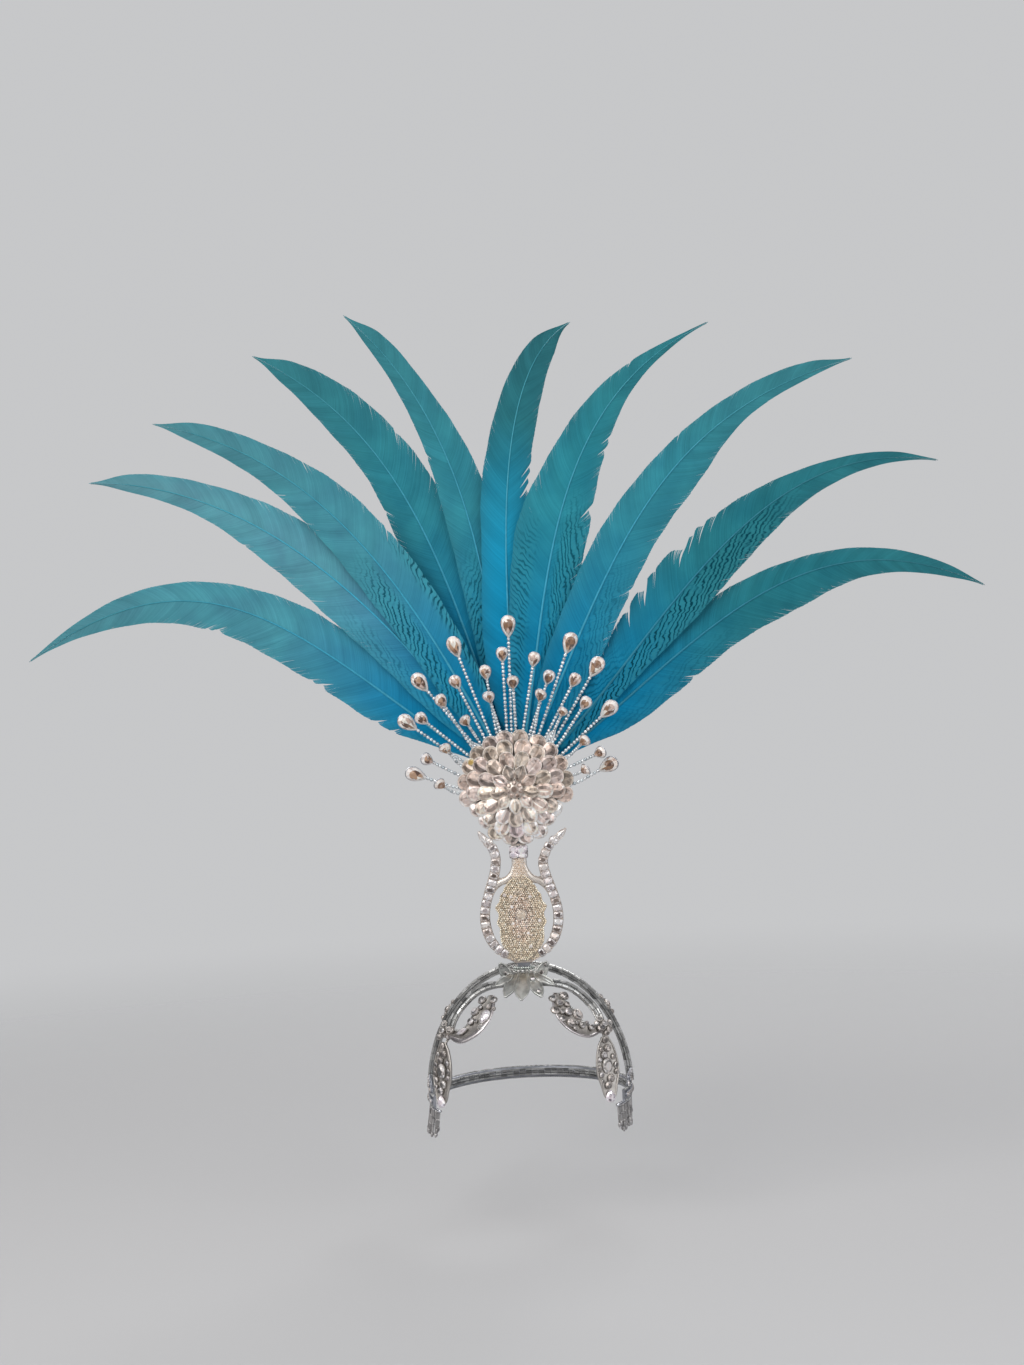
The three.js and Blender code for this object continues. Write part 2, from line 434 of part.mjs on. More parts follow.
function frontFrame() {
  const half = BROW_ARCH.map(({ x, z }) => V(x, domeY(x, z), z));
  const arch = domeBand(spline([...half.slice(1).map((p) => V(-p.x, p.y, p.z)).reverse(), ...half], 36), () => ({ w: FRONT_W, edge: BAND_T * 0.75, mid: BAND_T }));
  const scrolls = [-1, 1].map((k) => {
    const points = SCROLL.map(({ x, z }) => V(k * x, domeY(x, z, 1), z));
    const widths = SCROLL.map((r) => r.w);
    const n = 12;
    const stations = widths.map((_, i) => i / (widths.length - 1));
    return domeBand(spline(points, n), (i) => ({ w: through(stations, widths, i / n), edge: 2.6, mid: 5 }));
  });
  const end = BROW_ARCH[BROW_ARCH.length - 1];
  const knots = [-1, 1].map((k) => new THREE.SphereGeometry(JUNCTION_R, 10, 7).scale(1, 0.8, 1).translate(k * end.x, domeY(end.x, end.z, 1), end.z));
  return union([arch, ...scrolls, ...knots]);
}

function rearArch() {
  const n = 32;
  return loft(Array.from({ length: n + 1 }, (_, i) => {
    const deg = -REAR_END + (2 * REAR_END * i) / n;
    const a = rad(deg);
    const shrink = Math.sqrt(1 - (REAR_Y / DOME.b) ** 2);
    const lift = REAR_LEAF.rise * Math.exp(-(((Math.abs(deg) - REAR_LEAF.at) / REAR_LEAF.spread) ** 2));
    const at = (g, y) => V((DOME.a * shrink + g) * Math.sin(a), y, DOME.zc + (DOME.c * shrink + g) * Math.cos(a));
    const y0 = REAR_Y - REAR_W / 2, y1 = REAR_Y + REAR_W / 2;
    return [at(-REAR_DEEP.in, y0), at(REAR_DEEP.out + lift - 0.8, y0), at(REAR_DEEP.out + lift, REAR_Y), at(REAR_DEEP.out + lift - 0.8, y1), at(-REAR_DEEP.in, y1)];
  }));
}

// Round the head at a level; deg is measured from straight back.
const around = (deg, z, g) => V((DOME.a + g) * Math.sin(rad(deg)), (DOME.b + g) * Math.cos(rad(deg)), z);

function lowerBand() {
  const n = 36;
  return loft(Array.from({ length: n + 1 }, (_, i) => {
    const deg = -LOWER.end + (2 * LOWER.end * i) / n;
    const g = LOWER.t / 2;
    return [around(deg, LOWER.zTop, -g), around(deg, LOWER.zTop, g), around(deg, LOWER.zBottom, g), around(deg, LOWER.zBottom, -g)];
  }));
}

function fringe(k) {
  const n = FRINGE_LEN.length - 1;
  return loft(FRINGE_LEN.map((len, i) => {
    const deg = k * (FRINGE.to + ((FRINGE.from - FRINGE.to) * i) / n);
    const g = FRINGE.t / 2;
    return [around(deg, FRINGE.zTop, -g), around(deg, FRINGE.zTop, g), around(deg, FRINGE.zTop - len, g), around(deg, FRINGE.zTop - len, -g)];
  }));
}

function templeLeaf(k) {
  const out = k < 0 ? TEMPLE_SPREAD.left : TEMPLE_SPREAD.right;
  const top = V(k * (TEMPLE_TOP.x + out), TEMPLE_TOP.y, TEMPLE_TOP.z), end = V(k * (TEMPLE_END.x + out), TEMPLE_END.y, TEMPLE_END.z);
  const turn = rad(k < 0 ? TEMPLE_TURN.left : TEMPLE_TURN.right);
  const face = V(k * Math.sin(turn), -Math.cos(turn), 0), across = V(Math.cos(turn), k * Math.sin(turn), 0);
  return loft(TEMPLE.map(({ s, w, t }) => {
    const p = top.clone().lerp(end, s);
    const at = (u, v) => p.clone().addScaledVector(across, u).addScaledVector(face, v);
    return [at(-w / 2, -1), at(w / 2, -1), at(w / 2, 0.6), at(w / 4, t - 1.6), at(-w / 4, t - 1.6), at(-w / 2, 0.6)];
  }));
}

// ------------------------------------------------------------------ assembly
const finish = (color, roughness, metalness) => new THREE.MeshStandardMaterial({ color, roughness, metalness });
const FINISH = {
  feather: () => finish(0x1b8fae, 0.75, 0),
  crystal: () => finish(0xd9d3d0, 0.12, 0.6),
  silver: () => finish(0xb9bcc4, 0.28, 0.9),
  champagne: () => finish(0xcbbd9c, 0.3, 0.5),
  cloth: () => finish(0x7d8088, 0.85, 0),
};

const headdress = new THREE.Group();
function add(name, geometry, material) {
  const mesh = new THREE.Mesh(geometry, material());
  mesh.name = name;
  headdress.add(mesh);
}
const pad = (n) => String(n).padStart(2, '0');

for (const row of FEATHERS) add(`feather_${pad(row.id)}`, feather(row), FINISH.feather);
for (const row of SPRAYS) add(`spray_${pad(row.id)}`, spray(row), FINISH.crystal);
add('rosette_base', rosetteBase(), FINISH.cloth);
for (const row of RINGS) add(row.name, stoneRing(row), FINISH.crystal);
add('rosette_center', rosetteCenter(), FINISH.crystal);
add('feather_hub', featherHub(), FINISH.cloth);
add('back_post', new THREE.BoxGeometry(POST.w, POST.back - POST.front, POST.z1 - POST.z0).translate(0, (POST.back + POST.front) / 2, (POST.z0 + POST.z1) / 2), FINISH.silver);
add('lyre_plate', lyrePlate(), FINISH.silver);
add('neck_collar', collar(), FINISH.crystal);
add('vase_applique', applique(), FINISH.champagne);
add('vase_stone', lathe([[0, STONE.back], [STONE.r, STONE.back], [STONE.r, STONE.back - 1.2], [STONE.r * 0.6, STONE.front], [0, STONE.front]], 12).translate(0, 0, STONE.z), FINISH.crystal);
add('crown_palmette', crownPalmette(), FINISH.silver);
add('front_frame', frontFrame(), FINISH.silver);
add('rear_arch', rearArch(), FINISH.silver);
add('temple_leaf_left', templeLeaf(-1), FINISH.crystal);
add('temple_leaf_right', templeLeaf(1), FINISH.crystal);
add('lower_band', lowerBand(), FINISH.silver);
add('fringe_left', fringe(-1), FINISH.crystal);
add('fringe_right', fringe(1), FINISH.crystal);

export default headdress;
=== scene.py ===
# Showgirl feather headdress: feathers built barb by barb, faceted stones, beaded
# wires, bugle-bead bands and fringe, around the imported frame. Lengths in the tables
# are millimetres; meshes are made in metres.
import math

import bpy
import numpy as np
from mathutils import Matrix, Vector
from mathutils.geometry import tessellate_polygon


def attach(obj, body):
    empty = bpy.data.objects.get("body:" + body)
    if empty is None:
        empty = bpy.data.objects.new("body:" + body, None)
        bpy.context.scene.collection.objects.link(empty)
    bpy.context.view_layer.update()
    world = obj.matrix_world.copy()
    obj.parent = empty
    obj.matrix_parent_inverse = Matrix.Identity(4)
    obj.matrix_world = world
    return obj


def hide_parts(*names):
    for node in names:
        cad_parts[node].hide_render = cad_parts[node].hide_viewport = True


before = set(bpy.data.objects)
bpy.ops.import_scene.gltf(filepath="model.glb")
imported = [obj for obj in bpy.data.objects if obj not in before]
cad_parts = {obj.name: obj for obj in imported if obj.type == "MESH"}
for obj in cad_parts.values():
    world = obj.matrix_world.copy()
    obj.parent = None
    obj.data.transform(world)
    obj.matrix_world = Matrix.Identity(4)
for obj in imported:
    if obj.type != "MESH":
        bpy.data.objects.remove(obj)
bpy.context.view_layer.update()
MM = 0.001

# ------------------------------------------------------------------ sizes (mm)
DOME_A, DOME_B, DOME_C, DOME_Z = 92.5, 102.5, 114.5, -111.0
FAN = np.array([0.0, 170.0])
PLATE_BACK, PLATE_FRONT = -18.0, -21.0
QUILL_RING, QUILL_R = 22.0, 1.75
LEVEL0, LEVEL_STEP, LEAN0, LEAN_STEP, LEAN_R, CAMBER = -9.4, 5.5, 30.0, 6.0, 480.0, 0.075
WEB_START, WEB_LOW_S, WEB_LOW_K = 0.04, 0.1, 0.62
STATIONS = (0.22, 0.45, 0.62, 0.78, 0.92)

# id, level, root deg, tip x, tip z, tip deg, pull0, pull1, right widths, left widths
FEATHERS = [
    (1, 2, -54, -466.6, 308.2, -122.7, 0.46, 0.49, (24, 27, 20, 13.5, 5), (26, 30, 25, 16, 5)),
    (2, 1, -32.7, -398.4, 476.2, -87.8, 0.35, 0.35, (22, 28, 25, 17.5, 10.5), (26, 30.5, 23.9, 13, 6.6)),
    (3, 0, -25.2, -331.4, 527.8, -76.6, 0.395, 0.36, (23, 27.5, 25.5, 17, 10.4), (22, 27, 21.9, 14.2, 7.5)),
    (4, 4, -16.1, -241.1, 594.5, -61.4, 0.39, 0.375, (22.2, 29.4, 30.6, 25.1, 14.1), (22.2, 27.4, 20.9, 18.2, 9.2)),
    (5, 3, -6.5, -149, 626.8, -47.5, 0.315, 0.375, (20, 24, 22, 14.4, 11.4), (18, 22, 18, 12.3, 6.6)),
    (6, 2, 1.6, 68.3, 605.7, 62.7, 0.265, 0.25, (19, 21, 20.4, 19.4, 12.2), (24, 23.2, 24, 19, 12.6)),
    (7, 1, 13, 198, 597.7, 67.2, 0.33, 0.4, (24, 29.7, 22, 9.8, 3.2), (25, 37, 26.5, 15.4, 3.4)),
    (8, 0, 25.3, 330, 555.9, 76.4, 0.42, 0.405, (26, 26, 25.5, 10.4, 4.6), (22, 24.6, 19, 15.2, 10.2)),
    (9, 1, 48.7, 406.8, 457.6, 101.3, 0.33, 0.385, (15, 26.5, 22.5, 12.8, 4.2), (23, 32.6, 22.3, 10.4, 5.4)),
    (10, 2, 56.6, 446.4, 338.9, 116.9, 0.37, 0.445, (24.6, 26.4, 27, 13.4, 5.8), (19, 21.8, 16.4, 11.6, 6)),
]
LOW_WEB = {(1, -1): 0.34, (10, 1): 0.34}      # sides whose lowest web is narrower
# Splits in a web: feather, side, place of the split at the margin (share of length), gap, depth (share of barb)
SPLITS = [
    (9, "left", 0.345, 3.0, 0.34), (9, "left", 0.395, 5.2, 0.44), (9, "left", 0.43, 1.3, 0.24), (9, "left", 0.5, 6.8, 0.52),
    (9, "left", 0.522, 3.0, 0.42), (9, "left", 0.548, 2.6, 0.35), (9, "left", 0.575, 1.8, 0.26),
    (1, "left", 0.2, 2.2, 0.22), (1, "left", 0.235, 2.2, 0.2), (1, "left", 0.36, 3.4, 0.32), (1, "left", 0.38, 1.6, 0.2),
    (1, "left", 0.6, 3.4, 0.32), (1, "left", 0.62, 1.8, 0.2),
    (6, "right", 0.6, 4.0, 0.5), (6, "right", 0.622, 3.0, 0.42), (6, "right", 0.645, 2.2, 0.34),
    (7, "right", 0.525, 3.8, 0.36), (7, "right", 0.655, 3.0, 0.38), (7, "right", 0.68, 2.4, 0.32), (7, "left", 0.83, 2.4, 0.4),
    (4, "right", 0.68, 1.6, 0.2), (4, "left", 0.56, 1.4, 0.18), (8, "left", 0.66, 1.4, 0.2), (8, "right", 0.37, 1.6, 0.24),
    (10, "right", 0.35, 2.0, 0.2), (2, "left", 0.66, 1.4, 0.2), (3, "right", 0.5, 1.6, 0.2), (5, "left", 0.65, 1.8, 0.25),
]
# Dark wavy lines: feather, side, from, to (share of length), strength, from the shaft outward (share of web), slant,
# pitch. Those on feather 3's right margin are painted shade, the dark gaps between clumped barb ends.
MARKS = [
    (9, "right", 0.06, 0.72, 1.0, 0.0, 0.36, 4.2), (9, "left", 0.06, 0.30, 0.5, 0.0, 0.3, 4.3),
    (7, "right", 0.14, 0.55, 0.8, 0.2, 0.3, 3.9), (7, "left", 0.1, 0.5, 0.65, 0.42, -1.3, 4.0),
    # feather 3 right (second on the next line): painted shade in the gaps between clumped barb ends
    (3, "left", 0.12, 0.5, 0.85, 0.2, 0.47, 4.2), (3, "right", 0.14, 0.53, 0.9, 0.72, -0.75, 4.4),
    (5, "left", 0.1, 0.43, 0.85, 0.0, 0.6, 4.2), (8, "right", 0.1, 0.42, 0.4, 0.1, 0.3, 3.8), (8, "left", 0.08, 0.2, 0.2, 0.2, 0.3, 3.8),
    (10, "right", 0.1, 0.5, 0.25, 0.3, 0.2, 4.5), (2, "left", 0.12, 0.45, 0.35, 0.4, 0.3, 4.2),
    (4, "right", 0.3, 0.5, 0.25, 0.5, -0.6, 5.0), (1, "left", 0.1, 0.26, 0.2, 0.5, 0.3, 4.5),
]
# Colour of a whole feather: brightness, blueness of its lower half, warmth (on feathers 1 to 3 also a greyer cast, a
# painted sheen), paleness of its shaft
TONES = {1: (1.17, 0.0, 0.040, 0.85), 2: (1.28, 0.0, 0.056, 1.0), 3: (1.12, 0.05, 0.038, 0.9), 4: (0.88, 0.1, 0.010, 0.9),
         5: (0.96, 0.1, 0.014, 0.9), 6: (0.70, 0.96, 0.008, 1.0), 7: (0.93, 0.15, 0.004, 0.95), 8: (0.97, 0.1, 0.014, 0.9),
         9: (0.78, 0.0, 0.004, 0.6), 10: (0.77, 0.0, 0.004, 0.6)}


DROPS = {"L": (20.5, 12.6, 7.4), "M": (14.6, 10.2, 6.2), "S": (12.0, 8.6, 5.6)}
# a point on the drop x, z, y, its size, and where the wire leaves the rosette (deg)
SPRAYS = [
    (-92.2, 187.7, -34, "L", -90.3), (-68.7, 178.0, -41, "M", -96.2), (-79.5, 201.3, -44, "M", -76.7),
    (-97.3, 235.7, -34, "L", -62.6), (-82.4, 238.9, -47, "M", -53.9), (-61.7, 210.6, -44, "M", -68.7),
    (-83.7, 272.7, -34, "L", -42.3), (-63.4, 254.5, -48, "M", -47.2), (-50.0, 304.2, -34, "L", -24.2),
    (-49.8, 271.2, -44, "M", -30.6), (-42.3, 235.3, -46, "M", -36.6), (-22.0, 279.1, -40, "M", -18.4),
    (-19.4, 256.1, -50, "M", -12.9), (-5.7, 294.7, -44, "M", -7.6), (0.4, 321.1, -34, "L", -2.4),
    (3.1, 268.8, -50, "M", 2.8), (23.2, 288.9, -42, "M", 9.2), (36.1, 271.9, -42, "M", 16.2),
    (28.1, 255.8, -50, "M", 21.4), (56.4, 303.0, -34, "L", 26.6), (59.6, 268.1, -44, "M", 33.2),
    (80.0, 279.9, -34, "L", 43.6), (68.6, 246.7, -46, "M", 49.2), (47.6, 239.6, -50, "S", 38.4),
    (90.1, 240.2, -34, "L", 57.2), (66.2, 212.2, -46, "M", 63.6), (80.2, 200.7, -46, "M", 71.6),
    (87.9, 188.9, -33, "L", 91.8), (65.9, 185.9, -47, "M", 81.0),
]
DROP_AT = 0.62                               # place of that point along the drop, from the wire
WAIST_DEG, WAIST_SPREAD = 126.0, 15.0        # the two large rings draw in below the sides
# name, inner, outer, low, waist, stones, back
RINGS = [
    ("rosette_ring_outer", 33.8, 54.0, 52.0, 7.5, 20, -21.4),
    ("rosette_ring_second", 23.8, 46.0, 45.0, 4.0, 17, -27.2),
    ("rosette_ring_third", 14.8, 35.0, 35.0, 0.0, 13, -33.0),
    ("rosette_ring_inner", 6.8, 23.5, 23.5, 0.0, 9, -38.8),
]
# Lyre: z, outer x, inner x (None where the inner edge is another piece)
ARM = [(18, 23, None), (27, 32, 22), (39, 37, 27.5), (52, 38.4, 29.3), (65, 36.5, 27.5), (80, 32, None),
       (88.5, 29, 19.3), (97, 26.8, 17.7), (105, 26.4, 17.7), (115, 30, 21.2), (122, 35, 28.6)]
ARM_LINE = [(17.0, 18.2), (20.5, 20.4), (26.4, 26.6), (32.2, 39), (33.9, 52), (32.0, 65), (27.6, 78), (24.2, 88.5),
            (22.3, 97), (22.1, 105), (25.4, 114.6), (30.2, 120.6)]
SCALLOPS = [(13, 7.5), (20, 13.4), (24, 17.2), (28, 19.4), (36.7, 20.4), (42, 20.4), (46.5, 22.9), (51, 21.2), (55.5, 21),
            (61, 23.7), (66, 19.8), (71.5, 18.8), (75, 16), (79, 14.2), (85, 9.4)]
BROW_ARCH = [(0, -6.5), (17, -7.6), (32, -9.9), (45, -16.2), (56, -25.8), (64.6, -37), (70, -50)]
SCROLL = [(68, -49.5, 7), (57, -49.5, 9), (47, -43.5, 15), (38.5, -34, 20), (32.5, -24, 16), (29, -16.5, 5)]
PETALS = [(0, -1, -18.5, 14), (-6, -15.5, -16, 11.5), (6, 17, -17, 11.5), (-10, -25, -8, 10), (10, 28, -9, 10)]
CROWN = [(-36, 12), (-32.6, 15.5), (-27, 18.5), (-18, 18.5), (-7, 15), (0.6, 9)]
# stones of the brow scrolls by side: x (outward), z, length, width, kind
SCROLL_STONES = {
    1: [(35.9, -19.9, 9.7, 9.7, ""), (26.0, -20.9, 7.7, 7.7, ""), (28.4, -29.8, 9.0, 9.0, ""), (39.5, -32.2, 8.4, 8.4, ""), (47.5, -35.6, 11.6, 10.4, ""),
        (41.8, -41.4, 9.0, 8.4, ""), (51.6, -44.0, 7.7, 7.7, ""), (59.0, -47.6, 6.5, 6.5, ""), (34.4, -37.1, 6.5, 6.5, ""), (66.3, -50.4, 5.8, 5.8, ""),
        (32.2, -24.8, 7.0, 7.0, ""), (38.4, -26.4, 6.0, 6.0, ""), (46.8, -41.6, 4.0, 4.0, ""), (55.4, -43.6, 4.4, 4.4, ""), (34.2, -31.2, 5.6, 5.6, "dark"), (45.4, -46.0, 5.0, 4.6, "")],
    -1: [(36.8, -20.9, 9.0, 9.0, "dark"), (26.2, -20.3, 7.7, 7.7, ""), (43.2, -30.0, 9.0, 9.0, ""), (33.8, -33.7, 15.0, 12.0, "lilac"), (47.1, -38.0, 7.7, 7.7, ""),
         (37.7, -42.0, 6.6, 6.6, ""), (55.1, -46.6, 15.0, 6.5, "leaf"), (65.1, -47.0, 6.5, 6.5, ""), (30.8, -25.4, 5.4, 5.4, ""), (38.4, -26.6, 5.0, 5.0, ""), (42.4, -37.0, 4.2, 4.2, ""), (26.0, -27.0, 4.4, 4.4, "")],
}
KNOT_STONES = {
    1: [(72.7, -45.9, 6.5), (67.8, -42.2, 5.8), (76.5, -45.8, 5.8), (70.1, -49.3, 6.5), (76.3, -51.5, 6.5), (73.7, -54.7, 5.8), (65.2, -45.8, 5.2)],
    -1: [(73.7, -41.3, 5.8), (76.3, -47.1, 6.5), (69.6, -46.9, 6.5), (79.0, -53.2, 5.8), (70.8, -52.6, 5.8), (74.6, -51.6, 4.6)],
}
LOWER_RIM = {1: 1.5, -1: 2.7}
TEMPLE = [(0, 7), (0.12, 14), (0.34, 20.5), (0.58, 21), (0.78, 15), (0.92, 11), (1, 5)]
FRINGE_LEN = (22, 26, 28, 24, 27.5, 25, 28, 23, 18)

# Stone colours, bright to dark, as seen through clear foil-backed glass; the facets take their painted glints and shade
# from these rows
CLEAR = np.array([(0.97, 0.96, 0.95), (0.93, 0.89, 0.87), (0.80, 0.74, 0.72), (0.62, 0.56, 0.55), (0.40, 0.35, 0.33), (0.20, 0.16, 0.14)])
WARM = np.array([(0.97, 0.92, 0.87), (0.88, 0.76, 0.66), (0.70, 0.50, 0.38), (0.48, 0.29, 0.19), (0.26, 0.14, 0.09), (0.10, 0.06, 0.04)])
ROSE = np.array([(0.92, 0.80, 0.72), (0.78, 0.63, 0.55), (0.62, 0.48, 0.41), (0.46, 0.34, 0.28), (0.27, 0.19, 0.15), (0.10, 0.07, 0.055)])
AMBER = np.array([(0.95, 0.86, 0.55), (0.86, 0.68, 0.30), (0.70, 0.48, 0.16), (0.50, 0.31, 0.09), (0.30, 0.18, 0.06), (0.14, 0.08, 0.03)])
LILAC = np.array([(0.97, 0.95, 0.97), (0.88, 0.83, 0.88), (0.74, 0.68, 0.74), (0.56, 0.50, 0.56), (0.34, 0.30, 0.36), (0.14, 0.12, 0.15)])
COOL = np.array([(0.93, 0.95, 0.98), (0.78, 0.81, 0.86), (0.62, 0.66, 0.72), (0.46, 0.49, 0.55), (0.28, 0.30, 0.35), (0.13, 0.14, 0.17)])
CHAMPAGNE = np.array([(1.0, 0.94, 0.80), (0.92, 0.81, 0.63), (0.77, 0.65, 0.48), (0.60, 0.48, 0.35), (0.42, 0.32, 0.22), (0.22, 0.16, 0.10)])


# -------------------------------------------------------------------- helpers
def unit(v):
    v = np.asarray(v, float)
    return v / np.maximum(np.linalg.norm(v, axis=-1, keepdims=True), 1e-9)


def smooth(lo, hi, x):
    t = np.clip((np.asarray(x, float) - lo) / (hi - lo), 0, 1)
    return t * t * (3 - 2 * t)


def through(xs, ys, x):
    """Smooth value through table rows, level at both ends."""
    xs, ys, x = np.asarray(xs, float), np.asarray(ys, float), np.asarray(x, float)
    slope = np.zeros(len(xs))
    slope[1:-1] = (ys[2:] - ys[:-2]) / (xs[2:] - xs[:-2])
    i = np.clip(np.searchsorted(xs, x) - 1, 0, len(xs) - 2)
    h = xs[i + 1] - xs[i]
    t = np.clip((x - xs[i]) / h, 0, 1)
    return (2 * t**3 - 3 * t**2 + 1) * ys[i] + (t**3 - 2 * t**2 + t) * h * slope[i] + (3 * t**2 - 2 * t**3) * ys[i + 1] + (t**3 - t**2) * h * slope[i + 1]


def catmull(points, n, closed=False):
    """n points on a smooth curve through the given points, evenly spaced in length."""
    p = np.asarray(points, float)
    if closed:
        q = np.vstack([p[-1], p, p[0], p[1]])
    else:
        q = np.vstack([2 * p[0] - p[1], p, 2 * p[-1] - p[-2]])
    out = []
    for i in range(1, len(q) - 2):
        t = np.linspace(0, 1, 24, endpoint=False)[:, None]
        a, b, c, d = q[i - 1], q[i], q[i + 1], q[i + 2]
        out.append(0.5 * (2 * b + (c - a) * t + (2 * a - 5 * b + 4 * c - d) * t**2 + (3 * b - a - 3 * c + d) * t**3))
    line = np.vstack(out + [q[len(q) - 2][None]])
    return even(line, n) if not closed else even(line, n + 1)[:-1]


def even(line, n):
    line = np.asarray(line, float)
    s = np.r_[0, np.cumsum(np.linalg.norm(np.diff(line, axis=0), axis=1))]
    want = np.linspace(0, s[-1], n)
    return np.stack([np.interp(want, s, line[:, k]) for k in range(line.shape[1])], 1)


def length(line):
    return float(np.linalg.norm(np.diff(line, axis=0), axis=1).sum())


def tangents(line, closed=False):
    if closed:
        return unit(np.roll(line, -1, 0) - np.roll(line, 1, 0))
    return unit(np.gradient(line, axis=0))


def dome_y(x, z, g=0.0):
    q = 1 - (np.asarray(x) / (DOME_A + g)) ** 2 - ((np.asarray(z) - DOME_Z) / (DOME_C + g)) ** 2
    return -(DOME_B + g) * np.sqrt(np.maximum(q, 0))


def dome_z(x, y, g=0.0):
    q = 1 - (np.asarray(x) / (DOME_A + g)) ** 2 - (np.asarray(y) / (DOME_B + g)) ** 2
    return DOME_Z + (DOME_C + g) * np.sqrt(np.maximum(q, 0))


def dome_n(p):
    p = np.asarray(p, float)
    return unit(np.stack([p[..., 0] / DOME_A**2, p[..., 1] / DOME_B**2, (p[..., 2] - DOME_Z) / DOME_C**2], -1))


def around(deg, z, g=0.0):
    a = np.radians(deg)
    return np.stack([(DOME_A + g) * np.sin(a), (DOME_B + g) * np.cos(a), np.zeros_like(a) + z], -1)


class Piece:
    """Points and faces of one mesh piece, with a colour and a material slot a face."""

    def __init__(self):
        self.points, self.faces, self.slots, self.tints, self.soft = [], [], [], [], []
        self.count = 0

    def add(self, points, faces, slot=0, tint=(0.8, 0.8, 0.8), soft=False):
        points = np.asarray(points, float).reshape(-1, 3)
        faces = np.asarray(faces, int)
        tint = np.broadcast_to(np.asarray(tint, float), (len(faces), 3))
        self.points.append(points)
        self.faces.append(faces + self.count)
        self.slots.append(np.full(len(faces), slot))
        self.tints.append(tint)
        self.soft.append(np.full(len(faces), soft))
        self.count += len(points)

    def make(self, name, materials, record_slot, *nodes, values=None, uv=None):
        co = np.vstack(self.points) * MM
        sizes = np.concatenate([np.full(len(f), f.shape[1]) for f in self.faces])
        used, corners = np.unique(np.concatenate([f.ravel() for f in self.faces]), return_inverse=True)
        co, corners = co[used], corners.ravel()
        values = {key: np.asarray(data)[used] for key, data in (values or {}).items()}
        uv = None if uv is None else np.asarray(uv)[used]
        mesh = bpy.data.meshes.new(name)
        mesh.vertices.add(len(co))
        mesh.vertices.foreach_set("co", co.astype(np.float32).ravel())
        mesh.loops.add(len(corners))
        mesh.loops.foreach_set("vertex_index", corners.astype(np.int32))
        mesh.polygons.add(len(sizes))
        mesh.polygons.foreach_set("loop_start", np.r_[0, np.cumsum(sizes)[:-1]].astype(np.int32))
        mesh.polygons.foreach_set("material_index", np.concatenate(self.slots).astype(np.int32))
        mesh.polygons.foreach_set("use_smooth", np.concatenate(self.soft))
        tint = np.repeat(np.vstack(self.tints), sizes, axis=0)
        layer = mesh.attributes.new("tint", "FLOAT_COLOR", "CORNER")
        layer.data.foreach_set("color", np.c_[tint, np.ones(len(tint))].astype(np.float32).ravel())
        for key, data in values.items():
            a = mesh.attributes.new(key, "FLOAT", "POINT")
            a.data.foreach_set("value", np.asarray(data, np.float32))
        if uv is not None:
            u = mesh.uv_layers.new(name="OFBake")
            u.data.foreach_set("uv", np.asarray(uv, np.float32)[corners].ravel())
        mesh.update(calc_edges=True)
        for m in materials:
            mesh.materials.append(m)
        obj = bpy.data.objects.new(name, mesh)
        bpy.context.scene.collection.objects.link(obj)
        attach(obj, "root")
        if nodes:
            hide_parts(*nodes)
        return obj


def grid_faces(rows, cols, closed_cols=False, closed_rows=False):
    r = np.arange(rows if closed_rows else rows - 1)[:, None]
    c = np.arange(cols if closed_cols else cols - 1)[None, :]
    r2, c2 = (r + 1) % rows, (c + 1) % cols
    return np.stack([r * cols + c, r * cols + c2, r2 * cols + c2, r2 * cols + c], -1).reshape(-1, 4)


def tube(piece, line, radius, sides=8, slot=0, tint=(0.8, 0.8, 0.8), closed=False, up=None, flat=1.0):
    """Round bar along a line, closed at both ends. flat squashes it along up."""
    line = np.asarray(line, float)
    n = len(line)
    t = tangents(line, closed)
    if up is None:
        u = np.zeros_like(t)
        u[0] = unit(np.cross(t[0], [0.13, -0.9, 0.41]))
        for i in range(1, n):
            u[i] = unit(u[i - 1] - t[i] * (u[i - 1] @ t[i]))
        v = np.cross(t, u)
    else:
        v = unit(np.broadcast_to(up, t.shape) - t * np.sum(t * up, -1, keepdims=True))
        u = np.cross(v, t)
    r = np.broadcast_to(np.asarray(radius, float), (n,))[:, None, None]
    a = np.arange(sides) / sides * 2 * np.pi
    ring = line[:, None] + r * (u[:, None] * np.cos(a)[None, :, None] + flat * v[:, None] * np.sin(a)[None, :, None])
    piece.add(ring.reshape(-1, 3), grid_faces(n, sides, True, closed), slot, tint, True)
    if not closed:
        k = piece.count - n * sides
        for first, way in ((0, -1), ((n - 1) * sides, 1)):
            cap = np.arange(sides)[::way] + k + first
            piece.faces.append(np.stack([np.full(sides - 2, cap[0]), cap[1:-1], cap[2:]], 1))
            piece.slots.append(np.full(sides - 2, slot))
            piece.tints.append(np.broadcast_to(np.asarray(tint, float), (sides - 2, 3)))
            piece.soft.append(np.full(sides - 2, True))


def outward(points, faces):
    p = points[faces]
    c = points.mean(0)
    flip = np.einsum("ij,ij->", p.mean(1) - c, np.cross(p[:, 1] - p[:, 0], p[:, 2] - p[:, 0])) < 0
    return faces[:, ::-1] if flip else faces


